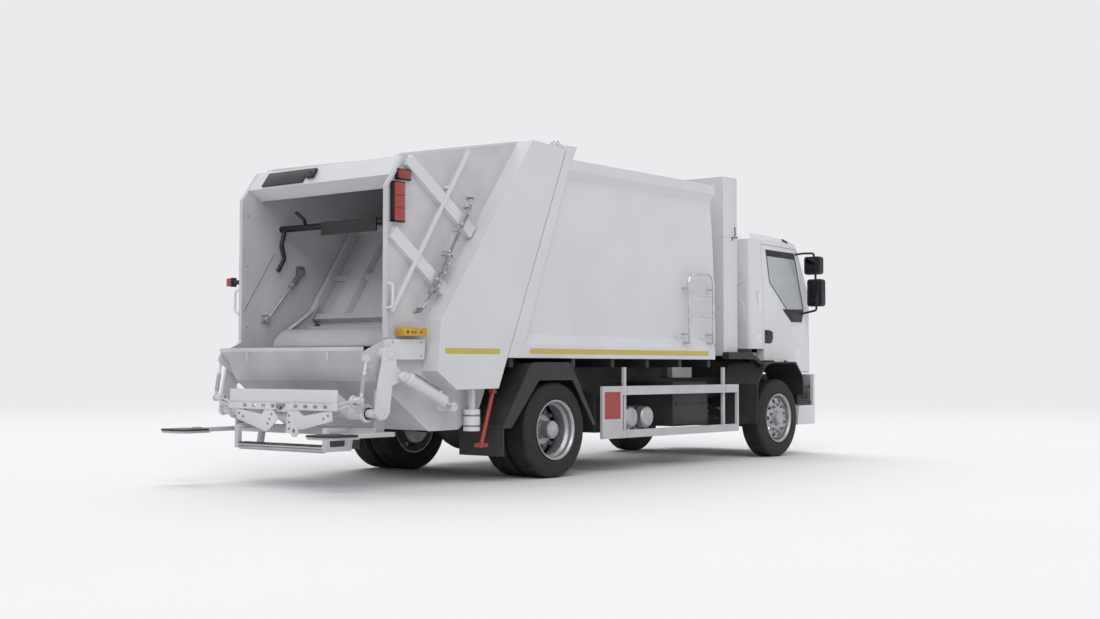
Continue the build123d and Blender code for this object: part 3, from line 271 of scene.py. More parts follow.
NODE_FINISH = {
    "coach_enamel": ("load_body", "front_cabinet", "tailgate_roof", "tailgate_side_boxes", "wall_braces",
                     "side_brackets", "lifter_arms", "comb_carrier", "control_struts", "lift_barrels"),
    "worn_hopper_enamel": ("hopper", "loading_sill", "packer_carriage", "packer_blade", "ejector_plate"),
    "cab_enamel": ("cab_shell", "bumper", "door_left", "door_right"),
    "pale_grey_enamel": ("side_guards", "step_frame"),
    "chassis_paint": ("chassis_frame", "subframe", "engine", "front_axle", "rear_axle", "springs",
                      "knuckle_left", "knuckle_right"),
    "moulded_black_plastic": ("mudguards_rear", "mudguards_front", "chassis_boxes", "grille", "entry_steps",
                              "mirror_left", "mirror_right"),
    "black_enamel": ("hopper_beam",),
    "anti_slip_tread": ("footboard_left", "footboard_right"),
    "zinc_plated_steel": ("hydraulic_lines",),
    "polished_steel": ("ladder", "lift_rods"),
    "tank_aluminium": ("air_tanks", "fuel_tank"),
    "forged_aluminium": ("rim_front_left", "rim_front_right", "rims_rear_left", "rims_rear_right"),
    "red_enamel": ("safety_prop",),
    "trim_plastic": ("dashboard",),
    "cab_glass": ("windscreen", "door_glass_left", "door_glass_right"),
    "red_lens": ("tail_lamps",),
    "clear_lens": ("head_lamps",),
    "woven_seat_cloth": ("cab_seats",),
}
FINISH = {}
# Slot names by finish, for the pieces modelled here; dress looks one up but gives it to no piece
SLOTS = {
    "coach_enamel": "white_paint", "worn_hopper_enamel": "white_paint", "yellow_plastic": "white_paint",
    "yellow_tape": "white_paint", "blank_label_film": "white_paint", "red_film": "red_paint",
    "pale_grey_enamel": "guard_paint", "chassis_paint": "frame_paint", "black_enamel": "frame_paint",
    "moulded_black_plastic": "black_plastic", "black_rubber": "black_plastic",
    "anti_slip_tread": "black_paint", "zinc_plated_steel": "galvanised", "bright_zinc": "galvanised",
    "polished_steel": "polished", "mirror_glass": "polished", "tank_aluminium": "tank_alloy",
    "forged_aluminium": "rim_alloy", "tyre_rubber": "tyre", "red_lens": "lamp", "trim_plastic": "trim",
    "woven_seat_cloth": "seat_cloth",
}


# Modelling helpers

def pick(*pieces):
    """Select these pieces alone, because an operator acts on all that is selected; the first is active."""
    bpy.ops.object.select_all(action="DESELECT")
    for piece in pieces:
        piece.select_set(True)
    if pieces:
        bpy.context.view_layer.objects.active = pieces[0]


def settle():
    """Put the new object's place into its mesh."""
    bpy.ops.object.transform_apply(location=True, rotation=True, scale=True)
    return bpy.context.object


def bevel(width, segments=2, angle=None):
    """Round the active object's edges: all of them, or those sharper than an angle in degrees."""
    bpy.ops.object.mode_set(mode="EDIT")
    if angle is None:
        bpy.ops.mesh.select_all(action="SELECT")
    else:
        bpy.ops.mesh.select_all(action="DESELECT")
        bpy.ops.mesh.edges_select_sharp(sharpness=radians(angle))
    bpy.ops.mesh.bevel(offset=width, segments=segments, affect="EDGES")
    bpy.ops.object.mode_set(mode="OBJECT")


def brick(low, high, edge=2.0, segments=2):
    """Rounded block between two opposite corners in millimetres."""
    a, b = at(*low), at(*high)
    pick()
    bpy.ops.mesh.primitive_cube_add(size=1, location=(a + b) / 2, scale=[abs(v) for v in b - a])
    made = settle()
    if edge:
        bevel(edge * MM, segments)
    return made


def rod(start, end, radius, edge=1.0, sides=24):
    """Round bar with chamfered ends between two points in millimetres."""
    a, b = at(*start), at(*end)
    pick()
    bpy.ops.mesh.primitive_cylinder_add(vertices=sides, radius=radius * MM, depth=(b - a).length,
                                        location=(a + b) / 2,
                                        rotation=(b - a).to_track_quat("Z", "Y").to_euler())
    made = settle()
    if edge:
        bevel(edge * MM, 1, SHARP)
    return made


def plate(points, thickness, edge=1.0):
    """Flat plate: a ring of points in millimetres, filled and pushed out by the thickness vector."""
    pick()
    bpy.ops.mesh.primitive_circle_add(vertices=len(points), fill_type="NGON")
    made = settle()
    for vertex, point in zip(made.data.vertices, points):
        vertex.co = at(*point)
    bpy.ops.object.mode_set(mode="EDIT")
    bpy.ops.mesh.select_all(action="SELECT")
    bpy.ops.mesh.extrude_region_move(TRANSFORM_OT_translate={"value": Vector(thickness) * MM})
    bpy.ops.mesh.select_all(action="SELECT")
    bpy.ops.mesh.normals_make_consistent(inside=False)
    bpy.ops.object.mode_set(mode="OBJECT")
    if edge:
        bevel(edge * MM, 2, SHARP)
    return made


def side_plate(outline, y_near, y_far, edge=1.0):
    """Plate from a side outline of (x, z) points, between two y values in either order."""
    y_low, y_high = sorted((y_near, y_far))
    return plate([(x, y_low, z) for x, z in outline], (0, y_high - y_low, 0), edge)


def pipe(points, radius, bend=30.0, sides=4):
    """Bent tube along points in millimetres, its corners rounded by the bend length."""
    data = bpy.data.curves.new("pipe", "CURVE")
    data.dimensions = "3D"
    data.bevel_depth = radius * MM
    data.bevel_resolution = sides
    data.use_fill_caps = True
    line = data.splines.new("BEZIER")
    spots = [Vector(p) for p in points]
    stations = [(spots[0], spots[0], spots[0])]
    for before, corner, after in zip(spots, spots[1:], spots[2:]):
        way_in = (before - corner).normalized() * min(bend, (before - corner).length * 0.48)
        way_out = (after - corner).normalized() * min(bend, (after - corner).length * 0.48)
        stations.append((corner + way_in, corner + way_in, corner + way_in * 0.45))
        stations.append((corner + way_out, corner + way_out * 0.45, corner + way_out))
    stations.append((spots[-1], spots[-1], spots[-1]))
    line.bezier_points.add(len(stations) - 1)
    for point, (spot, left, right) in zip(line.bezier_points, stations):
        point.handle_left_type = point.handle_right_type = "FREE"
        point.co, point.handle_left, point.handle_right = at(*spot), at(*left), at(*right)
    line.resolution_u = 6
    made = bpy.data.objects.new("pipe", data)
    bpy.context.scene.collection.objects.link(made)
    pick(made)
    bpy.ops.object.convert(target="MESH")
    return bpy.context.object


def turned(profile, centre, axis, steps=48):
    """Turned form: a closed section of (radius, along) points in millimetres, spun about an axis."""
    pick()
    axis = Vector(axis).normalized()
    out = axis.orthogonal().normalized()
    bpy.ops.mesh.primitive_circle_add(vertices=len(profile))
    made = settle()
    middle = at(*centre)
    for vertex, (radius, along) in zip(made.data.vertices, profile):
        vertex.co = middle + out * radius * MM + axis * along * MM
    bpy.ops.object.mode_set(mode="EDIT")
    bpy.ops.mesh.select_all(action="SELECT")
    bpy.ops.mesh.spin(steps=steps, angle=tau, center=middle, axis=axis)
    bpy.ops.mesh.select_all(action="SELECT")
    bpy.ops.mesh.remove_doubles(threshold=0.00002)
    bpy.ops.mesh.normals_make_consistent(inside=False)
    bpy.ops.object.mode_set(mode="OBJECT")
    return made


def copies(source, matrices):
    """Copies of a modelled piece, each with its own mesh moved by a matrix."""
    made = []
    for matrix in matrices:
        twin = bpy.data.objects.new(source.name, source.data.copy())
        bpy.context.scene.collection.objects.link(twin)
        twin.data.transform(matrix)
        if matrix.determinant() < 0:
            twin.data.flip_normals()
        made.append(twin)
    return made


def mirrored(source):
    """The same piece on the other side of the truck."""
    return copies(source, [Matrix.Scale(-1, 4, (0, 1, 0))])[0]


def join(parts):
    """One object from several."""
    pick(*parts)
    bpy.ops.object.join()
    return bpy.context.object


def on_both(parts):
    """Parts of the left side with their mirror images, as one object."""
    left = join(parts)
    return join([left, mirrored(left)])


def round_axle(piece, axle_x, count):
    """Copies of a piece spread evenly round a wheel's axle, in place of the piece."""
    hub = at(axle_x, 0, HUB_Z)
    made = copies(piece, [Matrix.Translation(hub) @ Matrix.Rotation(k * tau / count, 4, "Y")
                          @ Matrix.Translation(-hub) for k in range(count)])
    bpy.data.objects.remove(piece)
    return made


def bolt_circle(centre, radius, turns):
    """Points round a centre in the side view, one for each turn in radians."""
    x, y, z = centre
    return [(x + radius * cos(turn), y, z + radius * sin(turn)) for turn in turns]


def ring(centre, axis, inner, outer, low, high, edge=2.0, steps=40):
    """Flat ring with eased edges round an axis, between two distances along it."""
    return turned([(inner, low), (inner, high), (outer - edge, high), (outer, high - edge),
                   (outer, low + edge), (outer - edge, low)], centre, axis, steps)


def bolt_row(spots, axis, radius=9, height=7):
    """Hexagon bolt heads with their washers, standing on a surface along an axis."""
    heads = []
    for spot in spots:
        foot, tip = Vector(spot), Vector(spot) + Vector(axis) * height
        heads.append(rod(foot, foot + Vector(axis) * 2, radius * 1.45, 0, 16))
        heads.append(rod(foot, tip, radius, 1.2, 6))
    return heads


def cut(piece, cutters):
    """Take the cutters' shapes out of a piece."""
    for cutter in cutters:
        modifier = piece.modifiers.new("cut", "BOOLEAN")
        modifier.object = cutter
        pick(piece)
        bpy.ops.object.modifier_apply(modifier=modifier.name)
        bpy.data.objects.remove(cutter)
    return piece


def arc(start, middle, end, count=8):
    """Points of the arc through three (x, z) points, both ends included."""
    (ax, az), (bx, bz), (cx, cz) = start, middle, end
    twice = 2 * (ax * (bz - cz) + bx * (cz - az) + cx * (az - bz))
    a, b, c = (x * x + z * z for x, z in (start, middle, end))
    centre = Vector(((a * (bz - cz) + b * (cz - az) + c * (az - bz)) / twice,
                     (a * (cx - bx) + b * (ax - cx) + c * (bx - ax)) / twice))
    arm = Vector(start) - centre
    to_middle = arm.angle_signed(Vector(middle) - centre)
    whole = arm.angle_signed(Vector(end) - centre)
    if whole * to_middle < 0:
        whole += tau if to_middle > 0 else -tau
    turns = [Matrix.Rotation(-whole * step / count, 2) for step in range(count + 1)]
    return [tuple(centre + turn @ arm) for turn in turns]


def dress(parts, name, body, finish, slot=None, smooth=35):
    """Name a piece, or parts joined into one; shade it, give it its finish and let it ride on its body."""
    piece = join(parts) if isinstance(parts, list) else parts
    slot = slot or SLOTS[finish]
    piece.name = piece.data.name = name
    piece.data.materials.clear()
    piece.data.materials.append(FINISH[finish])
    pick(piece)
    bpy.ops.object.shade_smooth_by_angle(angle=radians(smooth))
    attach(piece, body)
    return piece


# Settings that a user would change

class TruckLooks(bpy.types.PropertyGroup):
    """Sizes and colours of the fittings."""

    tape_height: bpy.props.FloatProperty(
        name="Tape height", description="Height of the reflective tape", default=0.055,
        unit="LENGTH", subtype="DISTANCE")
    tread_depth: bpy.props.FloatProperty(
        name="Tread depth", description="Depth of the tyres' grooves", default=0.013,
        unit="LENGTH", subtype="DISTANCE")
    floor_colour: bpy.props.FloatVectorProperty(
        name="Floor", description="Colour of the studio floor", default=linear("#F2F2F3")[:3],
        size=3, min=0, max=1, subtype="COLOR")


def looks():
    """The settings above, as the user has them."""
    return bpy.context.scene.truck_looks


# Operators

class DressNodes(bpy.types.Operator):
    """Give every carried-over panel and part its finish"""

    bl_idname = "truck.dress_nodes"
    bl_label = "Finishes"

    def execute(self, context):
        FINISH.update(make_finishes())
        FINISH["tyre_rubber"] = tyre_rubber()
        FINISH["anti_slip_tread"] = tread_coating()
        FINISH["cab_glass"] = cab_glass()
        # Lens colours: painted shade for the creases, then painted highlight for the crowns of the domes
        FINISH["red_lens"] = lamp_lens("red_lens", "#7E1712", "#C2332A", 16)
        FINISH["clear_lens"] = lamp_lens("clear_lens", "#8E9194", "#D6D9DC", 22)
        FINISH["yellow_tape"] = reflective_tape("yellow_reflective_tape", "#CDB650", "#B79F3D")
        FINISH["red_film"] = reflective_tape("red_blank_film", "#A82A22", "#9E251E")
        FINISH["woven_seat_cloth"] = woven_cloth()
        FINISH["mirror_glass"] = mirror_glass()
        for finish, names in NODE_FINISH.items():
            for name in names:
                panel = frame["nodes"][name]
                panel.data.materials.clear()
                panel.data.materials.append(FINISH[finish])
        return {"FINISHED"}


TYRE_RADIUS = 480
TYRE_WIDTH = 276
TYRE_SECTION = (
    # radius from the axle and depth in from the outer face, mm
    (288, 24), (302, 15), (314, 9), (332, 5), (344, 4), (350, 1), (357, 1), (361, 3), (395, 1), (426, 6),
    (441, 9), (449, 13), (455, 12), (463, 20), (472, 27), (479.5, 38),
)
INNER_BEAD = ((302, 234), (288, 228))
GROOVES = (80, 118, 158, 196)
GROOVE_HALF_TOP = 5.5
GROOVE_HALF_FOOT = 3.5
SIPE_HALF = 2.2


class Tyres(bpy.types.Operator):
    """Model the ribbed road tyres, single in front and twin behind"""

    bl_idname = "truck.tyres"
    bl_label = "Tyres"

    def execute(self, context):
        depth = looks().tread_depth / MM
        bottom = TYRE_RADIUS - depth
        section = list(TYRE_SECTION)
        for groove in GROOVES:
            section += [(TYRE_RADIUS, groove - GROOVE_HALF_TOP), (bottom, groove - GROOVE_HALF_FOOT),
                        (bottom, groove + GROOVE_HALF_FOOT), (TYRE_RADIUS, groove + GROOVE_HALF_TOP)]
        section += [(radius, TYRE_WIDTH - inward) for radius, inward in reversed(TYRE_SECTION[2:])]
        section += INNER_BEAD
        base = turned(section, (0, 0, HUB_Z), (0, 1, 0), steps=72)
        cut_sipes(base, depth)
        for side, side_name in SIDES:
            turn = Matrix.Rotation(pi, 4, "Z") if side == 1 else Matrix.Identity(4)
            turn = turn @ Matrix.Translation((-AXLE_X, 0, 0))
            front_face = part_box(f"tyre_front_{side_name}")[1 if side == 1 else 0].y * side
            rear_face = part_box(f"tyres_rear_{side_name}")[1 if side == 1 else 0].y * side
            inner_face = abs(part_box(f"tyres_rear_{side_name}")[0 if side == 1 else 1].y) + TYRE_WIDTH * MM
            places = ((FRONT_AXLE_X, front_face), (AXLE_X, rear_face), (AXLE_X, inner_face))
            front, *twins = copies(base, [Matrix.Translation((x, side * face, 0)) @ turn
                                          for x, face in places])
            dress(front, f"treaded_tyre_front_{side_name}", f"wheel_front_{side_name}", "tyre_rubber")
            twins = dress(twins, f"treaded_tyres_rear_{side_name}", f"wheel_rear_{side_name}", "tyre_rubber")
            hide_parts(f"tyre_front_{side_name}")
            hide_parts(f"tyres_rear_{side_name}")
        bpy.data.objects.remove(base)
        return {"FINISHED"}


def cut_sipes(tyre, depth):
    """Narrow cross cuts in the outer ribs, where a road tyre has them."""
    pick(tyre)
    bpy.ops.object.mode_set(mode="EDIT")
    bpy.ops.mesh.select_all(action="DESELECT")
    bpy.ops.object.mode_set(mode="OBJECT")
    mesh = tyre.data
    for edge in mesh.edges:
        a, b = (mesh.vertices[i].co for i in edge.vertices)
        on_tread = all(Vector((p.x - AXLE_X, p.z - WHEEL_Z)).length > (TYRE_RADIUS - 0.6) * MM
                       for p in (a, b))
        edge.select = on_tread and abs(a.y - b.y) > 20 * MM
    bpy.ops.object.mode_set(mode="EDIT")
    bpy.ops.mesh.select_mode(type="EDGE")
    bpy.ops.mesh.bevel(offset=SIPE_HALF * MM, segments=1, affect="EDGES")
    bpy.ops.mesh.select_mode(type="FACE")
    bpy.ops.mesh.extrude_region_move()
    bpy.ops.transform.shrink_fatten(value=-depth * 0.5 * MM)
    bpy.ops.object.mode_set(mode="OBJECT")


WHEEL_FACES = (
    # end, x of the axle, y of the disc's face, y of the hub's face
    ("front", 4490, 1180, 1232),
    ("rear", 0, 1092, 1235),
)
NUT_CIRCLE = 167.5
NUT_PARTS = (
    # nut, washer and stud: both ends counted from the disc's face, radius, edge and sides
    (-2, 26, 16, 2.5, 6),
    (-1, 5, 23, 1.5, 24),
    (0, 38, 9, 1.5, 16),
)
CAP_BOLT_CIRCLE = 69
# Radius and distance from the hub's face
CAP_SECTION = ((0.01, -4), (0.01, 6), (40, 5), (52, 1), (60, -3), (74, -6), (80, -10), (81, -22), (60, -22))


class WheelFittings(bpy.types.Operator):
    """Model the wheel nuts and the hub caps"""

    bl_idname = "truck.wheel_fittings"
    bl_label = "Wheel fittings"

    def execute(self, context):
        for end, x, face_y, hub_y in WHEEL_FACES:
            for side, side_name in SIDES:
                wheel = f"wheel_{end}_{side_name}"
                z = HUB_Z + NUT_CIRCLE
                nut = join([rod((x, side * (face_y + near), z), (x, side * (face_y + far), z), *sizes)
                            for near, far, *sizes in NUT_PARTS])
                dress(round_axle(nut, x, 10), f"wheel_nuts_{end}_{side_name}", wheel, "zinc_plated_steel")
                cap = turned([(radius, hub_y + along) for radius, along in CAP_SECTION], (x, 0, HUB_Z),
                             (0, side, 0), 40)
                z = HUB_Z + CAP_BOLT_CIRCLE
                bolt = rod((x, side * (hub_y - 8), z), (x, side * (hub_y + 3), z), 6.5, 1.5, 6)
                dress([cap] + round_axle(bolt, x, 8), f"hub_cap_{end}_{side_name}", wheel, "forged_aluminium")
        return {"FINISHED"}


TAPES = (
    # name, body, x limits, z of the lower edge, y of the surface
    ("body", "chassis", (-335, 2901), 1237, 1200),
    ("tailgate", "tailgate", (-1556, -785), 1229, 1200),
)
TAPE_PIECE = 640
TAPE_THICK = 0.8
TAPE_GAP = 1.5


class Tapes(bpy.types.Operator):
    """Lay the reflective tapes and the blank plates on the sides"""

    bl_idname = "truck.tapes"
    bl_label = "Tapes and plates"

    def execute(self, context):
        height = looks().tape_height / MM
        for name, body, (x_low, x_high), z, y in TAPES:
            for side, side_name in SIDES:
                strips = []
                x = x_low
                while x < x_high - 1:
                    end = min(x + TAPE_PIECE, x_high)
                    corner = (end - TAPE_GAP, side * (y + TAPE_THICK), z + height)
                    strips.append(brick((x, side * y, z), corner, 0.3, 1))
                    x = end
                dress(strips, f"tape_{name}_{side_name}", body, "yellow_tape")
        for side, side_name in SIDES:
            sheet = brick((826, side * 1250, 560), (1104, side * 1251.5, 846), 0.6, 1)
            dress(sheet, f"blank_plate_{side_name}", "chassis", "red_film")
        return {"FINISHED"}


def door_y(z):
    """How far out the cab's side stands at height z."""
    return 1100 - max(0, z - 1850) * 45 / 850


def screen_x(z):
    """x of the windscreen's plane at height z."""
    return 5225 + (2600 - z) * 335 / 800


WINDOW = ((4428, 2574), (5130, 2566), (5307, 1849), (4886, 1836), (4484, 2168))
WINDOW_HEAD = ((4433, 2570), (5126, 2562), (5142, 2492), (4436, 2500))
MIRROR_HEADS = (
    # y limits and z limits
    (1153, 1383, 2300, 2530),
    (1195, 1409, 1888, 2238),
)
MIRROR_BORDER = 22
MIRROR_FOOT = ((4778, 1840), (5294, 1849), (5244, 1688), (4999, 1686))
ROOF_LAMP = ((4846, 1046, 2738), (4990, 1046, 2706), (4972, 1056, 2686), (4868, 1056, 2712))
BLANK_FILMS = (
    # name, body, and (x, z) of two corners of each film
    ("cab", "chassis", (((4166, 1824), (4268, 2040)), ((4150, 1412), (4262, 1512)))),
    ("door", "door_right", (((4560, 1176), (4800, 1250)), ((5096, 1136), (5212, 1336)))),
)


class CabFittings(bpy.types.Operator):
    """Model the cab's seals, mirror glasses, wipers, lamps and blank labels"""

    bl_idname = "truck.cab_fittings"
    bl_label = "Cab fittings"

    def execute(self, context):
        for side, side_name in SIDES:
            self.door(side, side_name, f"door_{side_name}")
            lamp = plate([(x, side * y, z) for x, y, z in ROOF_LAMP], (0, side * 12, 6), 3)
            dress(lamp, f"roof_lamp_{side_name}", "chassis", "moulded_black_plastic")
        for name, body, films in BLANK_FILMS:
            sheets = [brick((a[0], -1101.2, a[1]), (b[0], -1100, b[1]), 0.4, 1) for a, b in films]
            dress(sheets, f"blank_labels_{name}", body, "blank_label_film")
        self.screen()
        return {"FINISHED"}

    def door(self, side, side_name, body):
        """Window seal and head, mirror glasses and foot, and the handle in its shell."""
        seal, head = ([(x, side * (door_y(z) + 1), z) for x, z in outline]
                      for outline in (WINDOW + WINDOW[:1], WINDOW_HEAD))
        dress(pipe(seal, 6, 22), f"window_seal_{side_name}", body, "black_rubber")
        dress(plate(head, (0, side * 4, 0)), f"window_head_{side_name}", body, "moulded_black_plastic")
        glasses = [brick((5237, side * (y_low + MIRROR_BORDER), z_low + MIRROR_BORDER),
                         (5241, side * (y_high - MIRROR_BORDER), z_high - MIRROR_BORDER), 1.5)
                   for y_low, y_high, z_low, z_high in MIRROR_HEADS]
        dress(glasses, f"mirror_glasses_{side_name}", body, "mirror_glass")
        foot = side_plate(MIRROR_FOOT, side * 1099, side * 1116, 4)
        dress(foot, f"mirror_foot_{side_name}", body, "moulded_black_plastic")
        shell = [(4335, 1405), (4335, 1570)] + arc((4450, 1570), (4526, 1500), (4470, 1405), 10)
        handle = [side_plate(shell, side * 1099, side * 1109, 4),
                  brick((4350, side * 1106, 1526), (4500, side * 1124, 1554), 6)]
        dress(handle, f"door_handle_{side_name}", body, "moulded_black_plastic")

    def screen(self):
        """Windscreen seal and the two wipers."""
        corners = ((983, 1832), (928, 2618), (-928, 2618), (-983, 1832), (983, 1832))
        seal = pipe([(screen_x(z) + 2, y, z) for y, z in corners], 9, 30)
        dress(seal, "windscreen_seal", "chassis", "black_rubber")
        parts = []
        for foot, tip in ((760, 120), (-60, -700)):
            middle = (foot + tip) / 2
            parts += [pipe([(screen_x(1790) + 14, foot, 1792), (screen_x(1850) + 26, foot - 60, 1850),
                            (screen_x(1905) + 22, middle, 1905)], 7, 20),
                      rod((screen_x(1868) + 8, foot - 20, 1868), (screen_x(1940) + 8, tip, 1940), 6, 1, 8),
                      rod((screen_x(1790) - 4, foot, 1792), (screen_x(1790) + 26, foot, 1796), 16, 3)]
        dress(parts, "wipers", "chassis", "moulded_black_plastic")


HOPPER_SKIN = 997
TAIL_LENSES = (
    # x limits, z limits and how far the surround stands out
    (-2006, -1850, 2822, 2900, 38),
    (-2064, -1936, 2432, 2780, 48),
)
# How far a lamp's surround reaches past the lens, and its whole width
SURROUND_REACH = 10
SURROUND_WIDTH = 14


class Lamps(bpy.types.Operator):
    """Model the tail lamps' surrounds, the marker's stalk and the headlamps' rings"""

    bl_idname = "truck.lamps"
    bl_label = "Lamps"

    def execute(self, context):
        frames = []
        for x_low, x_high, z_low, z_high, depth in TAIL_LENSES:
            x_low, x_high, z_low, z_high = (x_low - SURROUND_REACH, x_high + SURROUND_REACH,
                                            z_low - SURROUND_REACH, z_high + SURROUND_REACH)
            face = HOPPER_SKIN + depth
            for x in (x_low, x_high - SURROUND_WIDTH):
                frames.append(brick((x, HOPPER_SKIN, z_low), (x + SURROUND_WIDTH, face, z_high), 2))
            for z in (z_low, z_high - SURROUND_WIDTH):
                frames.append(brick((x_low, HOPPER_SKIN, z), (x_high, face, z + SURROUND_WIDTH), 2))
        for z in (2548, 2664):
            frames.append(brick((-2062, 1050, z - 3), (-1938, 1058.5, z + 3), 1))
        dress(on_both(frames), "lamp_surrounds", "tailgate", "moulded_black_plastic")
        stalk = [rod((-2095, 998, 1945), (-2095, 1180, 1945), 23, 3),
                 brick((-2128, 1172, 1902), (-2062, 1186, 1993), 3)]
        dress(stalk, "marker_stalk", "tailgate", "black_rubber")
        rings = [ring((5560, y, 780), (1, 0, 0), 20, 46, 150, 156, 3) for y in (740, 840, 930)]
        dress(on_both(rings), "headlamp_rings", "chassis", "polished_steel")
        return {"FINISHED"}


GUIDE_DIR = Vector((cos(radians(57)), 0, sin(radians(57))))


def up_guide(x, y, z, distance):
    """Point a distance along the guide's slope from another."""
    return Vector((x, y, z)) + GUIDE_DIR * distance


class Hydraulics(bpy.types.Operator):
    """Model the fittings of the pipes and cylinders"""

    bl_idname = "truck.hydraulics"
    bl_label = "Hydraulics"

    def execute(self, context):
        self.wall_pipes()
        self.lift_cylinders()
        self.inner_cylinder()
        return {"FINISHED"}

    def wall_pipes(self):
        """Union nuts, clamps and feet of the pipes outside the hopper's walls."""
        parts = []
        for low_x, low_z, length in ((-1760, 1610, 1330), (-1720, 1640, 1180), (-1560, 1800, 420)):
            def on_pipe(start, end, radius, edge, sides):
                """Collar round the pipe between two distances from its lower end."""
                parts.append(rod(up_guide(low_x, 1089, low_z, start), up_guide(low_x, 1089, low_z, end),
                                 radius, edge, sides))
            for start in (42, length - 92):
                on_pipe(start, start + 26, 16, 2, 6)
                on_pipe(start + 26, start + 50, 13, 2, 16)
            for share in (0.28, 0.52, 0.76):
                on_pipe(length * share - 14, length * share + 14, 15, 2, 12)
                foot = up_guide(low_x, 998, low_z, length * share)
                parts.append(rod(foot, foot + Vector((0, 84, 0)), 6, 1, 8))
            for end in (0, length):
                foot = up_guide(low_x, 998, low_z, end)
                parts.append(rod(foot, foot + Vector((0, 24, 0)), 17, 2, 6))
        dress(on_both(parts), "pipe_fittings", "tailgate", "bright_zinc")

    def lift_cylinders(self):
        """Gland rings, ports, feed pipes and rod eyes of the lift cylinders."""
        eye, anchor = Vector((-2040, 1160, 1020)), Vector((-1400, 1160, 735))
        run = (anchor - eye).normalized()
        up = Vector((-run.z, 0, run.x))
        glands = [rod(eye + run * start, eye + run * (start + length), radius, 4, 40)
                  for start, length, radius in ((44, 22, 56), (500, 16, 55), (524, 40, 57))]
        glands += [rod(eye + run * along + up * 44, eye + run * along + up * 68, 15, 2, 6)
                   for along in (96, 486)]
        glands.append(ring(eye, (0, 1, 0), 23, 46, -22, 21, 4))
        dress(on_both(glands), "cylinder_glands", "barrels", "coach_enamel")
        feeds = [pipe([eye + run * along + up * height
                       for along, height in ((96, 66), (120, 76), (460, 76), (486, 66))], 6, 24),
                 ring(eye + run * 564, run, 25, 34, 0, 6, 1.5)]
        dress(on_both(feeds), "cylinder_feed_pipes", "barrels", "zinc_plated_steel")
        dress(on_both([ring(anchor, (0, 1, 0), 20, 44, -22, 21, 4)]), "rod_eyes", "rods", "coach_enamel")

    def inner_cylinder(self):
        """Small cylinder on the left inner wall with its bracket and rod end."""
        low, knee, high = Vector((-1857, 940, 1579)), Vector((-1560, 940, 1913)), Vector((-1407, 940, 2085))
        parts = [rod(low, knee, 13.5, 1), rod(knee, high, 29, 4, 32),
                 rod(knee, knee + (high - knee) * 0.16, 33, 3, 32),
                 ring(low, (0, 1, 0), 12, 34, -16, 24, 4),
                 rod(low + Vector((0, -24, 0)), low + Vector((0, 44, 0)), 12, 2),
                 brick((-1912, 958, 1546), (-1826, 984.5, 1626), 5)]
        dress(parts, "inner_cylinder", "tailgate", "bright_zinc")


BLADE_PIVOT = (-1350, 1480)
PIVOT_BORE = 41.5
ACROSS_DIR = Vector((-GUIDE_DIR.z, 0, GUIDE_DIR.x))
CARRIAGE_HALF = 915
CARRIAGE_LENGTH = 1350
BACK_SHEET = -48
RIB_CREST = 20
RIB_SHEET = 8
RIB_FLARE = 26
RIB_ROWS = (
    # right edge y, left edge y
    (-681, -471),
    (-325, 325),
    (471, 681),
)
BLADE_HALF = 900
CHEEK = 30
NOSE = (-1822, 1300)
BACK_END = (-1641, 1480)


def on_guide(*spots):
    """Side-view points, each given along the guide line from the blade's pivot, and across it."""
    pivot = Vector((BLADE_PIVOT[0], 0, BLADE_PIVOT[1]))
    found = [pivot + GUIDE_DIR * along + ACROSS_DIR * across for along, across in spots]
    return [(spot.x, spot.z) for spot in found]


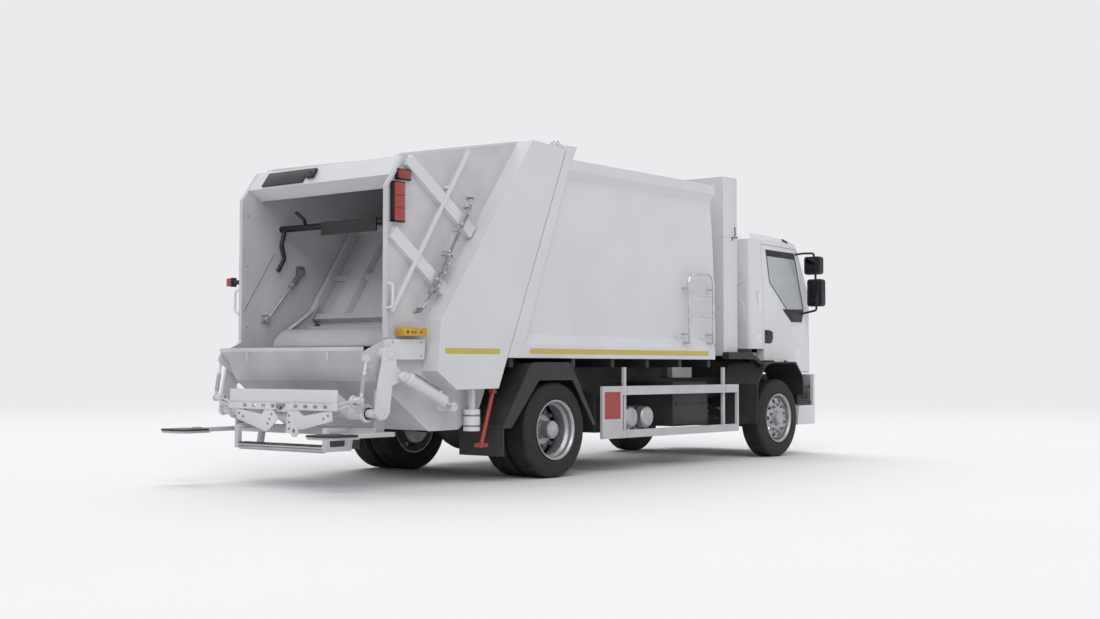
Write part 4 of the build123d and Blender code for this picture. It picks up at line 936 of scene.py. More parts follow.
class PackingGear(bpy.types.Operator):
    """Model the packing carriage with its hat ribs, and the scoop blade with its levers"""

    bl_idname = "truck.packing_gear"
    bl_label = "Packing gear"

    def execute(self, context):
        self.carriage()
        self.blade()
        return {"FINISHED"}

    def carriage(self):
        """Side beams on the guide line, folded back sheet, hat ribs and cross members."""
        half, top, back = CARRIAGE_HALF, CARRIAGE_LENGTH, BACK_SHEET
        beam = on_guide((-60, -60), (-60, 60), (top, 60), (top, -60))
        parts = [side_plate(beam, side * half, side * (half + 59), 5) for side in (1, -1)]
        foot = on_guide((-21, back), (-21, -36), (105, back - 4), (120, back - 4), (120, back - 17),
                        (100, back - 17))
        parts.append(side_plate(foot, -half + 75, half - 75, 2))
        sheet = on_guide((110, back - 12), (110, back), (top - 30, back), (top - 30, back - 12))
        parts.append(side_plate(sheet, -half, half, 1))
        for y_low, y_high in RIB_ROWS:
            hat = ((y_low - RIB_FLARE, back), (y_low, RIB_CREST), (y_high, RIB_CREST),
                   (y_high + RIB_FLARE, back), (y_high + RIB_FLARE - RIB_SHEET, back),
                   (y_high - RIB_SHEET, RIB_CREST - RIB_SHEET), (y_low + RIB_SHEET, RIB_CREST - RIB_SHEET),
                   (y_low - RIB_FLARE + RIB_SHEET, back))
            foot = on_guide(*((130, across) for y, across in hat))
            parts.append(plate([(x, y, z) for (x, z), (y, across) in zip(foot, hat)],
                               GUIDE_DIR * (top - 180), 3))
        for low, crest in ((120, 30), (640, -8), (1240, 30)):
            member = on_guide((low, -52), (low, crest), (low + 70, crest), (low + 70, -52))
            parts.append(side_plate(member, -half, half, 5))
        x, z = BLADE_PIVOT
        parts.append(rod((x, -half, z), (x, half, z), 40, 1, 40))
        piece = dress(parts, "carriage_with_ribs", "carriage", "worn_hopper_enamel")
        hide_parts("packer_carriage")

    def blade(self):
        """Cheeks with curved backs and levers, the curved scoop between them, web, gussets and bosses."""
        x, z = BLADE_PIVOT
        between = BLADE_HALF - CHEEK
        back_curve = arc((NOSE[0], NOSE[1] + 18), (-1766, 1412), BACK_END)
        lever_top, *lever_front = on_guide((300, 66), (300, 40), (100, 40))
        cheek = [(-1310, 1420), (-1420, 1360), NOSE] + back_curve
        cheek += arc((-1440, 1605), (-1345, 1676), lever_top) + lever_front + [(-1296, 1540), (-1290, 1490)]
        scoop = back_curve + arc((-1632, 1470), (-1756, 1403), (-1808, 1318))
        scoop += [(-1440, 1394), (-1440, 1370), NOSE]
        web = [(-1440, 1370), (-1440, 1500), (-1424, 1490), (-1424, 1372)]
        parts = [side_plate(outline, -between - 1, between + 1, 1) for outline in (scoop, web)]
        gusset = [(-1440, 1380), (-1440, 1490), (-1640, 1472), (-1790, 1352), (-1790, 1320)]
        parts += [side_plate(gusset, y - 8, y + 8, 1) for y in (-500, 0, 500)]
        rim = [(-1330, 1684), (-1440, 1605), (-1641, 1480), (-1645, 1487), (-1444, 1612), (-1335, 1691)]
        for side in (1, -1):
            y_low, y_high = sorted((side * between, side * BLADE_HALF))
            bore = rod((x, y_low - 9, z), (x, y_high + 9, z), PIVOT_BORE, 0, 40)
            parts.append(cut(side_plate(cheek, y_low, y_high, 3), [bore]))
            parts.append(side_plate(rim, side * (BLADE_HALF - 62), side * BLADE_HALF, 1))
            parts.append(ring((x, 0, z), (0, side, 0), PIVOT_BORE, 62, between - 24, between + 1, 3))
        piece = dress(parts, "scoop_blade", "blade", "worn_hopper_enamel")
        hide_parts("packer_blade")


CROSS_TUBE = (-2270, 690)
STRUT_FOOT = (-2433, 810)
COMB_HALF = 768
COMB_FACE = -2452
COMB_LOW = 712
COMB_TOP = 785
PLATE_TOP = 900
LEVER_Y = 935
LEVER_THICK = 32
SLEEVE_R = 58
TUBE_BORE = 41.5
# Wing outlines in the rear view, (y, z)
LEFT_WING = ((660, 716), (295, 664), (238, 716), (136, 716), (58, 634), (186, 522), (240, 508), (620, 606),
             (660, 624))
RIGHT_WING = ((-78, 716), (-210, 716), (-287, 661), (-668, 716), (-676, 620), (-255, 531), (-200, 560),
              (-110, 498), (-52, 498), (-60, 610))
# Middles of the slots, counted from the left, and the step between them
SLOT_STARTS = (525, -193)
SLOT_STEP = 133
SLOT_HALF = 29


class BinComb(bpy.types.Operator):
    """Model the comb that takes the bins: bumper plate, slots, wings, levers and tie rods"""

    bl_idname = "truck.bin_comb"
    bl_label = "Bin comb"

    def execute(self, context):
        face = COMB_FACE
        plan = ((face, -COMB_HALF + 26), (face - 34, -COMB_HALF + 80), (face - 34, COMB_HALF - 40),
                (face, COMB_HALF))
        bumper = plate([(x, y, COMB_TOP) for x, y in plan], (0, 0, PLATE_TOP - COMB_TOP), 4)
        comb = brick((face - 22, -COMB_HALF + 20, COMB_LOW), (face, COMB_HALF, COMB_TOP + 1), 3)
        slots = [brick((face - 40, start - SLOT_STEP * index - SLOT_HALF, COMB_LOW + 18),
                       (face + 9, start - SLOT_STEP * index + SLOT_HALF, COMB_LOW + 48), 0)
                 for start in SLOT_STARTS for index in range(4)]
        slots.append(brick((face - 40, -60, COMB_LOW - 9), (face + 9, 80, COMB_TOP - 15), 0))
        parts = [bumper, cut(comb, slots)]
        parts += [plate([(face - 12, y, z) for y, z in wing], (12, 0, 0), 1.5)
                  for wing in (LEFT_WING, RIGHT_WING)]
        parts.append(rod((face - 14, -165, 522), (face, -165, 522), 56, 2, 40))
        parts.append(brick((face, -70, COMB_LOW - 20), (face + 60, 90, COMB_TOP), 4))
        saddle = [(-2462, 880), (-2452, 760), (-2360, 672), (-2312, 680)]
        saddle += arc((-2312, 690), (-2270, 732), (-2228, 690)) + [(-2215, 690), (-2215, 740), (-2300, 780)]
        parts += [side_plate(saddle, y, y + 28, 1.5) for y in (-728, -240, 220, 700)]
        for side in (1, -1):
            parts += self.end(side)
        piece = dress(parts, "slotted_comb", "comb", "coach_enamel")
        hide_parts("comb_carrier")
        return {"FINISHED"}

    def end(self, side):
        """Sleeve on the cross tube, with the lever that the strut holds and its tie rods."""
        middle, foot = (Vector((x, 0, z)) for x, z in (CROSS_TUBE, STRUT_FOOT))
        back = LEVER_Y - LEVER_THICK
        rings = ((middle, TUBE_BORE, SLEEVE_R, 700, LEVER_Y, 2),
                 (middle, TUBE_BORE, SLEEVE_R + 24, back, LEVER_Y, 3),
                 (foot, 0.01, 44, back, LEVER_Y, 3), (foot, 0.01, 14.5, LEVER_Y - 1, 1034, 3),
                 (foot, 0.01, 28, LEVER_Y - 1, 994, 2), (foot, 14.5, 24, 1024, 1030, 1.5))
        parts = [ring(centre, (0, side, 0), *sizes) for centre, *sizes in rings]
        run = (middle - foot).normalized()
        half = Vector((-run.z, 0, run.x)) * 44
        far = middle - run * 60
        bar = [(p.x, p.z) for p in (foot - half, foot + half, far + half, far - half)]
        parts.append(side_plate(bar, side * back, side * LEVER_Y, 2))
        parts += [rod((COMB_FACE - 8, side * (COMB_HALF - 30), z_comb),
                      (COMB_FACE + 14, side * (LEVER_Y - 20), z_lever), 8, 1, 16)
                  for z_comb, z_lever in ((764, 812), (728, 772))]
        return parts


STEP_Y = 612
STEP_REAR = -2500
BOARD_Y = 1022
BOARD_LIMITS = (-2960, -2602)
BOARD_HALF = 192.5
BOARD_CORNER = 90
BOARD_Z = 502


class Steps(bpy.types.Operator):
    """Model the step frame with its looped brackets, and the rear footboards"""

    bl_idname = "truck.steps"
    bl_label = "Steps"

    def execute(self, context):
        rear = STEP_REAR
        post = [(-2216, 900), (-2110, 820), (-2119, 479), (-2216, 479)]
        loop = [(rear, 345), (-2190, 345), (-2150, 560), (rear, 560)]
        inside = [(rear + 44, 385), (-2232, 385), (-2206, 524), (rear + 44, 524)]
        parts = [brick((-2214, -984, 481), (-2121, 984, 560), 6)]
        for side in (1, -1):
            y = side * STEP_Y
            parts += [side_plate(post, side * 945, side * 985, 3),
                      brick((-2592, side * 1005, 483), (-2080, side * 1085, 525), 4),
                      brick((-2213, side * 947, 485), (-2122, side * 1083, 523), 4),
                      cut(side_plate(loop, y - 26, y + 26, 4), [side_plate(inside, y - 40, y + 40, 0)])]
        parts.append(brick((rear, -STEP_Y + 24, 372), (rear + 100, STEP_Y - 24, 398), 4))
        piece = dress(parts, "looped_step_frame", "tailgate", "pale_grey_enamel")
        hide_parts("step_frame")
        for side, side_name in SIDES:
            board = dress(self.board(side), f"tread_board_{side_name}", f"footboard_{side_name}",
                          "anti_slip_tread")
            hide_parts(f"footboard_{side_name}")
        return {"FINISHED"}

    def board(self, side):
        """Board with round corners on a narrower tray."""
        rear, front = BOARD_LIMITS
        low, high = side * BOARD_Y - BOARD_HALF, side * BOARD_Y + BOARD_HALF
        r = BOARD_CORNER
        corners = ((rear + r, low + r, pi), (front - r, low + r, 1.5 * pi), (front - r, high - r, 0),
                   (rear + r, high - r, 0.5 * pi))
        rim = [(x + r * cos(start + k * pi / 16), y + r * sin(start + k * pi / 16), BOARD_Z)
               for x, y, start in corners for k in range(9)]
        tray = brick((-2930, low + 30, 480), (-2606, high - 30, BOARD_Z + 0.5), 8)
        return [plate(rim, (0, 0, 18), 3), tray]


class TailLamps(bpy.types.Operator):
    """Model the tail lamps and the marker on its stalk, on the left side only"""

    bl_idname = "truck.tail_lamps"
    bl_label = "Tail lamps"

    def execute(self, context):
        both = [brick((x_low, HOPPER_SKIN + 1, z_low), (x_high, HOPPER_SKIN + depth + 12, z_high), 8)
                for x_low, x_high, z_low, z_high, depth in TAIL_LENSES]
        marker = brick((-2125, 1180, 1905), (-2065, 1262, 1990), 10)
        piece = dress([on_both(both), marker], "tail_lamp_lenses", "tailgate", "red_lens")
        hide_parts("tail_lamps")
        return {"FINISHED"}


# Bolts on the comb's wings in the rear view, (y, z)
WING_BOLTS = ((150, 668), (178, 624), (206, 580), (620, 668), (560, 640),
              (-96, 660), (-96, 600), (-96, 540), (-620, 668), (-560, 640))


class LifterDetails(bpy.types.Operator):
    """Model the struts, caps and latch of the bin lifter, and the steps' hinges and treads"""

    bl_idname = "truck.lifter_details"
    bl_label = "Lifter details"

    def execute(self, context):
        self.struts()
        outwards = (0, 1, 0)
        pivots = [ring((-2371, 1021, 1180), outwards, 6, 30, 1, 11, 3),
                  ring((-2157, 1097, 1222), outwards, 31, 52, 1, 9, 3)]
        pivots += bolt_row(bolt_circle((-2157, 1106, 1222), 41, (0.5, 2.6, 4.7)), outwards, 6, 5)
        dress(on_both(pivots), "pivot_caps", "tailgate", "coach_enamel")
        caps = [ring((-2270, 1097, 690), outwards, 0.5, 56, 0.5, 7, 3)]
        fifths = [k * tau / 5 for k in range(5)]
        caps += bolt_row(bolt_circle((-2270, 1104, 690), 38, fifths), outwards, 6, 5)
        caps.append(ring((-2040, 1186, 1020), outwards, 0.5, 27, 0.5, 6, 2))
        dress(on_both(caps), "arm_caps", "lifter", "coach_enamel")
        bolts = bolt_row([(-2464, y, z) for y, z in WING_BOLTS], (-1, 0, 0), 8, 6)
        bolts += [rod((-2482, 30, 726), (-2452, 30, 726), 17, 3, 24),
                  rod((-2476, -40, 752), (-2476, 66, 740), 8, 2, 12),
                  rod((-2470, -165, 522), (-2434, -165, 522), 20, 4, 24)]
        dress(bolts, "comb_bolts", "comb", "zinc_plated_steel")
        link = pipe([(-2440, -40, 735), (-2380, -60, 700), (-2330, 60, 715), (-2300, 160, 735)], 9, 40)
        dress(link, "latch_link", "comb", "black_rubber")
        self.board_hinges()
        return {"FINISHED"}

    def struts(self):
        """Turnbuckle struts between the ears and the comb's levers."""
        top, foot = Vector((-2371, 1011, 1180)), Vector((-2433, 1011, 810))
        run = (foot - top).normalized()
        length = (foot - top).length
        parts = [ring(top, (0, 1, 0), 21.5, 40, -10, 10, 3), ring(foot, (0, 1, 0), 15, 36, -10, 10, 3),
                 rod(top + run * 36, top + run * 150, 13, 1), rod(top + run * 118, top + run * 146, 21, 2, 6),
                 rod(top + run * 144, top + run * (length - 60), 20, 3, 28),
                 rod(top + run * (length - 92), foot - run * 30, 15, 2)]
        across = Vector((0, 23, 0))
        for share in (0.52, 0.86):
            spot = top + run * length * share
            parts.append(rod(spot - across, spot + across, 7, 1.5, 6))
        piece = dress(on_both(parts), "turnbuckle_struts", "struts", "coach_enamel")
        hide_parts("control_struts")

    def board_hinges(self):
        """Pale hinge brackets on the footboards, and the middle step's tread and nose."""
        for side, side_name in SIDES:
            low, high = sorted((side * 1004, side * 1078))
            knuckles = [brick((-2660, low - 4, 518.5), (-2606, high + 4, 531), 3),
                        rod((-2606, low, 526), (-2606, high, 526), 7, 1.5)]
            dress(knuckles, f"board_hinge_{side_name}", f"footboard_{side_name}", "pale_grey_enamel",
                  "black_paint")
        dress(brick((-2504, -578, 386), (-2402, 578, 402), 3), "step_tread", "tailgate", "black_rubber")
        nose = rod((-2472, -585.5, 353), (-2472, 585.5, 353), 21.5, 1, 40)
        dress(nose, "step_nose", "tailgate", "tank_aluminium")


# Directions down the fascia's slope and out of it
FASCIA_ALONG = Vector((-0.5778, 0, -0.8162))
FASCIA_OUT = Vector((-0.8162, 0, 0.5778))
FASCIA_COVERS = (
    # name, upper and lower end (x, z), y limits and how far it stands out
    ("screen_hood", (-1966, 3006), (-2062, 2872), 790, 200, 17),
    ("rear_camera", (-1990, 2990), (-2050, 2906), 150, 60, 31),
)
HOPPER_INSIDE = 984.5
# Side outline of the trough's sheet: its underside from the front lip to the sill, and its inside back
TROUGH = ((-676.2, 1196), (-787, 861), (-855, 716), (-950, 646), (-1154, 520), (-1250, 513.5),
          (-1450, 513.5), (-1559, 517), (-1660, 584), (-2033, 848), (-2197, 981),
          (-2192, 990), (-2028, 857), (-1655, 593), (-1556, 526), (-1449, 522), (-1251, 522),
          (-1158, 529), (-956, 654), (-864, 722), (-797, 864), (-686.2, 1196))


class TailgateDetails(bpy.types.Operator):
    """Model the tailgate's trough, hood, camera and control box, the sill's ends, seams and bolts"""

    bl_idname = "truck.tailgate_details"
    bl_label = "Tailgate details"

    def execute(self, context):
        lift = Vector((0, 3, 0))
        for name, start, end, y_high, y_low, depth in FASCIA_COVERS:
            a = Vector((start[0], y_high, start[1])) - FASCIA_ALONG * 3 + lift
            b = Vector((end[0], y_high, end[1])) + FASCIA_ALONG * 3 + lift
            rise = FASCIA_OUT * depth
            cover = plate([a, b, b + rise, a + rise], (0, y_low - y_high - 6, 0), 4)
            dress(cover, name, "tailgate", "moulded_black_plastic")
        eye = Vector((-2020, 105, 2948))
        lens = rod(eye + FASCIA_OUT * 20, eye + FASCIA_OUT * 35, 17, 3, 32)
        dress(lens, "camera_lens", "tailgate", "black_rubber")
        dress(brick((-2012, -1118.5, 1386.5), (-1708, -1015.5, 1459.5), 5), "control_box", "tailgate",
              "yellow_plastic")
        knobs = [rod((x, -1117, 1423), (x, -1124, 1423), radius, 1.5, 24)
                 for x, radius in ((-1960, 13), (-1905, 9), (-1860, 9), (-1790, 9))]
        dress(knobs, "control_buttons", "tailgate", "black_rubber")
        rail_end = brick((-2411, 929, 1251), (-2377, HOPPER_INSIDE, 1285), 3)
        dress(on_both([rail_end]), "sill_rail_ends", "tailgate", "worn_hopper_enamel")
        trough = side_plate(TROUGH, -HOPPER_INSIDE, HOPPER_INSIDE, 0.5)
        dress(trough, "hopper_trough", "tailgate", "worn_hopper_enamel")
        self.hopper_inside()
        self.outside_bolts()
        return {"FINISHED"}

    def hopper_inside(self):
        """Seams along the guide's slope and bolts on the inner walls."""
        seams = [rod(up_guide(x, side * 984, z, 0), up_guide(x, side * 984, z, length), 3.5, 0, 8)
                 for x, z, length in ((-2130, 1640, 720), (-1100, 1870, 900)) for side in (1, -1)]
        dress(seams, "guide_seams", "tailgate", "zinc_plated_steel")
        bolts = bolt_row([(x, 985, z) for x, z in ((-2080, 1500), (-2080, 2100), (-2080, 2600), (-1900, 2860),
                                                   (-1500, 2950), (-1200, 3020))], (0, -1, 0), 7, 5)
        dress(on_both(bolts), "wall_bolts", "tailgate", "bright_zinc")

    def outside_bolts(self):
        """Bolt heads on the pivot boxes and the canister's bands."""
        heads = bolt_row([(-2090, 1055, 1330), (-1720, 1055, 1330), (-1720, 1055, 1210), (-1405, 1023, 820)],
                         (0, 1, 0), 8, 6)
        dress(on_both(heads), "bracket_bolts", "tailgate", "bright_zinc")
        bands = [ring((-1055, -1080, z), (0, 0, 1), 79, 83, 0, 16, 1) for z in (540, 640)]
        dress(bands, "canister_bands", "tailgate", "zinc_plated_steel")


# Bars of the cabinet's latch: ends (x, y, z), radius and edge
LATCH_BARS = (
    ((3637, 1110, 2690), (3637, 1110, 2796), 7, 1.5),
    ((3552, 1108, 2666), (3694, 1108, 2674), 7, 1.5),
    ((3579, 1108, 2630), (3579, 1108, 2668), 6, 1.5),
    ((3637, 1098, 2700), (3637, 1112, 2700), 11, 2),
    ((3637, 1098, 2780), (3637, 1112, 2780), 11, 2),
)
# Edges of the mudguards, (x, z)
FRONT_GUARD = ((3905, 420), (3925, 900), (4110, 1130), (4290, 1165), (4860, 1165), (5030, 985), (5050, 760))
REAR_GUARD = ((-820, 520), (-387, 1146), (228, 1148), (640, 512))


class BodyDetails(bpy.types.Operator):
    """Model the cabinet's latch and seams, the ladder's stays, the guards' bolts and beads"""

    bl_idname = "truck.body_details"
    bl_label = "Body details"

    def execute(self, context):
        seams = [brick((x_low, side * 1100, z_low), (x_high, side * 1102, z_high), 0.6, 1) for side in (1, -1)
                 for x_low, x_high, z_low, z_high in ((3411, 3709, 2664, 2672), (3640, 3645, 1262, 3380))]
        seams.append(brick((3408, -1090, 2664), (3410, 1090, 2672), 0.6, 1))
        dress(seams, "cabinet_seams", "chassis", "coach_enamel")
        latch = [rod(start, end, radius, edge, 16) for start, end, radius, edge in LATCH_BARS]
        dress(on_both(latch), "cabinet_latches", "chassis", "zinc_plated_steel")
        stays = [rod((x, -1268, 1384), (x + reach, -1168, 1452 if reach else 1384), 6, 1, 12)
                 for x, reach in ((2400, -150), (2400, 0), (2900, -130), (2900, 110))]
        stays += [rod((x, -1284, 1384), (x, -1170, 1384), 13, 2, 16) for x in (2400, 2900)]
        dress(stays, "ladder_stays", "chassis", "polished_steel")
        spots = [(x, 1250, z) for x in (1227, 3194) for z in (845, 880, 380, 415)]
        spots += [(x, 1250, z) for x in (806, 1124) for z in (380, 880)]
        dress(on_both(bolt_row(spots, (0, 1, 0), 7, 5)), "guard_bolts", "chassis", "bright_zinc")
        beads = [pipe([(x, y, z) for x, z in edge], radius, bend)
                 for edge, y, radius, bend in ((FRONT_GUARD, 1237, 8, 60), (FRONT_GUARD[:3], 1120, 7, 60),
                                               (REAR_GUARD, 1264, 7, 40))]
        dress(on_both(beads), "mudguard_beads", "chassis", "moulded_black_plastic")
        return {"FINISHED"}


CHAMBER_SECTION = (
    # radius and distance along the brake chamber
    (0.01, 0), (60, 0), (74, 12), (78, 40), (84, 44), (84, 56), (78, 60), (74, 96), (52, 130), (0.01, 134),
)


class Underbody(bpy.types.Operator):
    """Model what shows under the frame: spring clamps, brake chambers, lines, straps and lids"""

    bl_idname = "truck.underbody"
    bl_label = "Underbody"

    def execute(self, context):
        clamps = []
        for axle_x, z, drop in ((0, 560, 120), (4490, 451, 96)):
            clamps += [rod((x, y, z - drop), (x, y, z + 96), 11, 1, 12)
                       for x in (axle_x - 110, axle_x + 110) for y in (430, 510)]
            clamps.append(brick((axle_x - 140, 424, z + 80), (axle_x + 140, 516, z + 96), 3))
            for step in range(4):
                reach = 560 - 110 * step
                clamps.append(brick((axle_x - reach, 428, z - 6 + 12 * step),
                                    (axle_x - reach + 24, 512, z + 6 + 12 * step + (reach - 150) * 0.26), 2))
        dress(on_both(clamps), "spring_clamps", "chassis", "chassis_paint")
        chambers = []
        for x, y, z in ((-190, 560, 610), (4300, 620, 560)):
            chambers += [turned(CHAMBER_SECTION, (x, y, z), (-1, 0, 0.15), 32),
                         rod((x, y, z), (x + 90, y, z - 14), 10, 1, 12)]
        dress(on_both(chambers), "brake_chambers", "chassis", "black_enamel")
        lines = [pipe([(-640, y, 905), (400, y, 930), (2400, y, 905), (3300, y, 925), (4300, y, 915)], 7, 200)
                 for y in (404, 388, 372)]
        dress(on_both(lines), "air_lines", "chassis", "black_rubber")
        straps = [ring((x, y, 560), (0, 1, 0), 117, 121, -18, 18, 1, 56)
                  for x in (1480, 1780) for y in (-1010, -640)]
        dress(straps, "air_tank_straps", "chassis", "black_enamel")
        straps = [brick((x - 24, y_low, z_low), (x + 24, y_high, z_high), 1) for x in (1560, 2440)
                  for y_low, y_high, z_low, z_high in ((505, 1060, 961, 965), (1140, 1144, 520, 872),
                                                       (505, 1060, 426, 430))]
        dress(straps, "fuel_tank_straps", "chassis", "black_enamel")
        cap = turned([(0.01, 0), (52, 0), (54, 6), (54, 34), (48, 40), (0.01, 40)], (2580, 1060, 940),
                     (0, 0.5, 0.86))
        dress(cap, "fuel_cap", "chassis", "moulded_black_plastic")
        lids = [brick((2262, -1134, z_low), (2968, -1130, z_high), 3)
                for z_low, z_high in ((700, 926), (452, 684))]
        lids += [rod((x, -1128, 690), (x, -1140, 690), 14, 2, 16) for x in (2350, 2880)]
        lids.append(brick((772, -1154, 440), (1178, -1150, 840), 3))
        dress(lids, "box_lids", "chassis", "moulded_black_plastic")
        return {"FINISHED"}


SEATS = (
    # name, y centre, width
    ("driver", 620, 470),
    ("crew", -560, 750),
)
SEAT_SHAPES = (
    # side outline of each pad before it swells
    ("base", ((4345, 1500), (4840, 1512), (4846, 1606), (4360, 1588))),
    ("back", ((4342, 1604), (4250, 1520), (4148, 2210), (4226, 2230))),
)
PAD_EDGE = 30
CLOTH_FRAMES = 20
# Metres: mesh size of the pads, and how far the cloth may move
PAD_VOXEL = 0.011
PAD_CAP = 0.012


class Seats(bpy.types.Operator):
    """Model the cab's padded seats, blown up by a cloth simulation, and their pedestals"""

    bl_idname = "truck.seats"
    bl_label = "Seats"

    def execute(self, context):
        for name, y, width in SEATS:
            half = width / 2
            for label, outline in SEAT_SHAPES:
                soft = self.inflate(side_plate(outline, y - half + 8, y + half - 8, PAD_EDGE))
                dress(soft, f"seat_{label}_{name}", "chassis", "woven_seat_cloth", smooth=60)
        feet = [brick((4400, y_low, 1292), (4800, y_high, 1490), 12)
                for y_low, y_high in ((510, 730), (-750, -530))]
        feet += [brick((4352, y - 190, 1478), (4840, y + 190, 1497), 6) for name, y, width in SEATS]
        frame_piece = dress(feet, "seat_pedestals", "chassis", "trim_plastic")
        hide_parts("cab_seats")
        return {"FINISHED"}

    def inflate(self, part):
        """Even mesh, blown up by cloth pressure, held within a cap and smoothed once."""
        pick(part)
        part.data.remesh_voxel_size = PAD_VOXEL
        bpy.ops.object.voxel_remesh()
        start = [v.co.copy() for v in part.data.vertices]
        cloth = part.modifiers.new("cloth", "CLOTH")
        cloth.settings.use_pressure = True
        cloth.settings.uniform_pressure_force = 4
        cloth.settings.quality = 4
        cloth.settings.effector_weights.gravity = 0
        scene = bpy.context.scene
        for step in range(1, CLOTH_FRAMES + 1):
            scene.frame_set(step)
        blown = part.evaluated_get(bpy.context.evaluated_depsgraph_get())
        moved = [v.co.copy() for v in blown.data.vertices]
        part.modifiers.remove(cloth)
        scene.frame_set(1)
        for vertex, old, new in zip(part.data.vertices, start, moved):
            shift = new - old
            vertex.co = old + shift * min(1.0, PAD_CAP / max(shift.length, 1e-9))
        smooth = part.modifiers.new("smooth", "SUBSURF")
        smooth.levels = smooth.render_levels = 1
        bpy.ops.object.modifier_apply(modifier=smooth.name)
        return part


CAMERA_SPOT = (-11298, -10340, 1106)
CAMERA_YAW = 39.029
CAMERA_PITCH = 2.282
CAMERA_ROLL = 0.055
PHOTO_WIDTH = 1100
FOCAL_PIXELS = 1447.06
SENSOR = 36.0
BACKDROP = "#EBEBED"
# Metres from the middle between which the floor fades into the backdrop
FADE_START = 9.0
FADE_END = 30.0


def looked_at(tree):
    """1 where the backdrop is seen straight, in a mirror or through glass, and 0 where it gives light."""
    path = node(tree, "ShaderNodeLightPath").outputs
    seen = node(tree, "ShaderNodeMath", {0: path["Is Camera Ray"], 1: path["Is Glossy Ray"]},
                operation="MAXIMUM")
    return node(tree, "ShaderNodeMath", {0: seen.outputs[0], 1: path["Is Transmission Ray"]},
                operation="MAXIMUM").outputs[0]


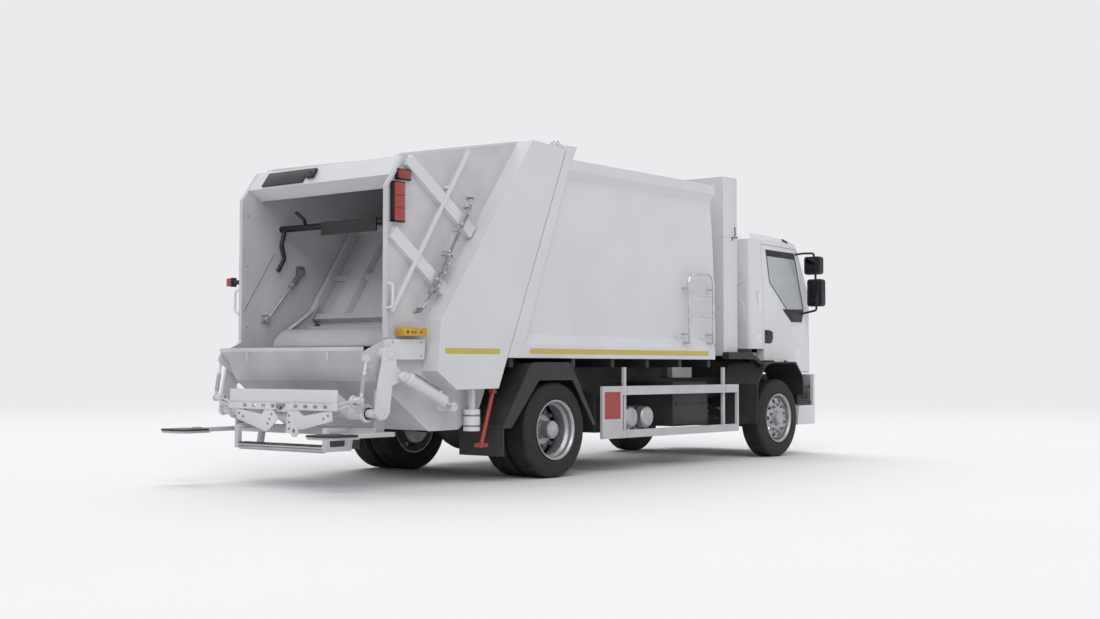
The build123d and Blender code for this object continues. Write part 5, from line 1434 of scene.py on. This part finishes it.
class Studio(bpy.types.Operator):
    """Set up the pale floor, the soft lights and the camera"""

    bl_idname = "truck.studio"
    bl_label = "Studio"

    def execute(self, context):
        scene = context.scene
        scene.view_settings.view_transform = "Standard"
        pick()
        bpy.ops.mesh.primitive_grid_add(x_subdivisions=8, y_subdivisions=8, size=160, location=(0, 0, 0))
        floor = settle()
        floor.name = "studio_floor"
        floor.data.materials.append(self.floor_paint())
        self.light_room(scene)
        self.place_lamp("soft_top", (0.35, 0.45, 0.82), 50, 1.4)
        self.place_lamp("soft_rear", (-0.55, -0.5, 0.67), 50, 1.15)
        self.place_camera(scene)
        return {"FINISHED"}

    def floor_paint(self):
        """Matt floor that fades with distance into the backdrop's own pale grey, so no horizon shows."""
        material, tree, shader, place = start_finish("matt_floor_paint", Roughness=0.9,
                                                     Specular_IOR_Level=0.1)
        speck = node(tree, "ShaderNodeTexNoise", {"Vector": place, "Scale": 0.4})
        pale = tuple(looks().floor_colour) + (1.0,)
        near = node(tree, "ShaderNodeMix", {"Factor": speck.outputs["Fac"], 6: pale, 7: linear("#F0F0F1")},
                    data_type="RGBA").outputs[2]
        reach = node(tree, "ShaderNodeVectorMath", {0: place}, operation="LENGTH").outputs["Value"]
        far = node(tree, "ShaderNodeMapRange", {"Value": reach, "From Min": FADE_START, "From Max": FADE_END},
                   interpolation_type="SMOOTHSTEP").outputs[0]
        far = node(tree, "ShaderNodeMath", {0: far, 1: looked_at(tree)}, operation="MULTIPLY").outputs[0]
        backdrop = node(tree, "ShaderNodeEmission", {"Color": linear(BACKDROP), "Strength": 1.0})
        tree.links.new(near, shader.inputs["Base Color"])
        both = node(tree, "ShaderNodeMixShader", {0: far, 1: shader.outputs[0], 2: backdrop.outputs[0]})
        output = next(each for each in tree.nodes if each.bl_idname == "ShaderNodeOutputMaterial")
        tree.links.new(both.outputs[0], output.inputs["Surface"])
        return material

    def light_room(self, scene):
        """Even pale surroundings: dim as light, and the backdrop's own grey where they are looked at."""
        world = bpy.data.worlds.new("pale_room")
        scene.world = world
        world.use_nodes = True
        tree = world.node_tree
        tree.nodes.clear()
        dim = node(tree, "ShaderNodeBackground", {"Color": linear("#F4F5F8"), "Strength": 0.47})
        white = node(tree, "ShaderNodeBackground", {"Color": linear(BACKDROP), "Strength": 1.0})
        both = node(tree, "ShaderNodeMixShader", {0: looked_at(tree), 1: dim.outputs[0], 2: white.outputs[0]})
        node(tree, "ShaderNodeOutputWorld", {"Surface": both.outputs[0]})

    def place_lamp(self, name, towards, spread, strength):
        """Broad distant lamp that shines from a direction; its spread makes the shadows soft."""
        data = bpy.data.lights.new(name, "SUN")
        data.angle = radians(spread)
        data.energy = strength
        lamp = bpy.data.objects.new(name, data)
        bpy.context.scene.collection.objects.link(lamp)
        lamp.rotation_euler = Vector(towards).to_track_quat("Z", "Y").to_euler()

    def place_camera(self, scene):
        """Camera at the photograph's place, angle and focal length."""
        data = bpy.data.cameras.new("camera")
        data.sensor_width = SENSOR
        data.lens = FOCAL_PIXELS / PHOTO_WIDTH * SENSOR
        data.clip_end = 300
        camera = bpy.data.objects.new("camera", data)
        scene.collection.objects.link(camera)
        camera.location = at(*CAMERA_SPOT)
        yaw = Matrix.Rotation(radians(CAMERA_YAW - 90), 3, "Z")
        pitch = Matrix.Rotation(radians(90 + CAMERA_PITCH), 3, "X")
        camera.rotation_euler = (yaw @ pitch @ Matrix.Rotation(radians(CAMERA_ROLL), 3, "Z")).to_euler()
        scene.camera = camera


class TruckPanel(bpy.types.Panel):
    """Shows the truck's settings and a button for each step in the sidebar"""

    bl_label = "Truck"
    bl_idname = "VIEW3D_PT_truck"
    bl_space_type = "VIEW_3D"
    bl_region_type = "UI"
    bl_category = "Truck"

    def draw(self, context):
        for name in ("tape_height", "tread_depth", "floor_colour"):
            self.layout.prop(context.scene.truck_looks, name)
        for operator in STEPS:
            self.layout.operator(operator.bl_idname)


STEPS = (Studio, DressNodes, Tyres, WheelFittings, Tapes, CabFittings, TailLamps, Lamps, Hydraulics,
         PackingGear, BinComb, Steps, LifterDetails, TailgateDetails, BodyDetails, Underbody, Seats)
CLASSES = (TruckLooks,) + STEPS + (TruckPanel,)


def register():
    for each in CLASSES:
        bpy.utils.register_class(each)
    bpy.types.Scene.truck_looks = bpy.props.PointerProperty(type=TruckLooks)


def unregister():
    del bpy.types.Scene.truck_looks
    for each in reversed(CLASSES):
        bpy.utils.unregister_class(each)


def main():
    register()
    for step in STEPS:
        group, name = step.bl_idname.split(".")
        if getattr(getattr(bpy.ops, group), name)() != {"FINISHED"}:
            raise RuntimeError(f"{step.bl_idname} did not finish")


if __name__ == "__main__":
    main()
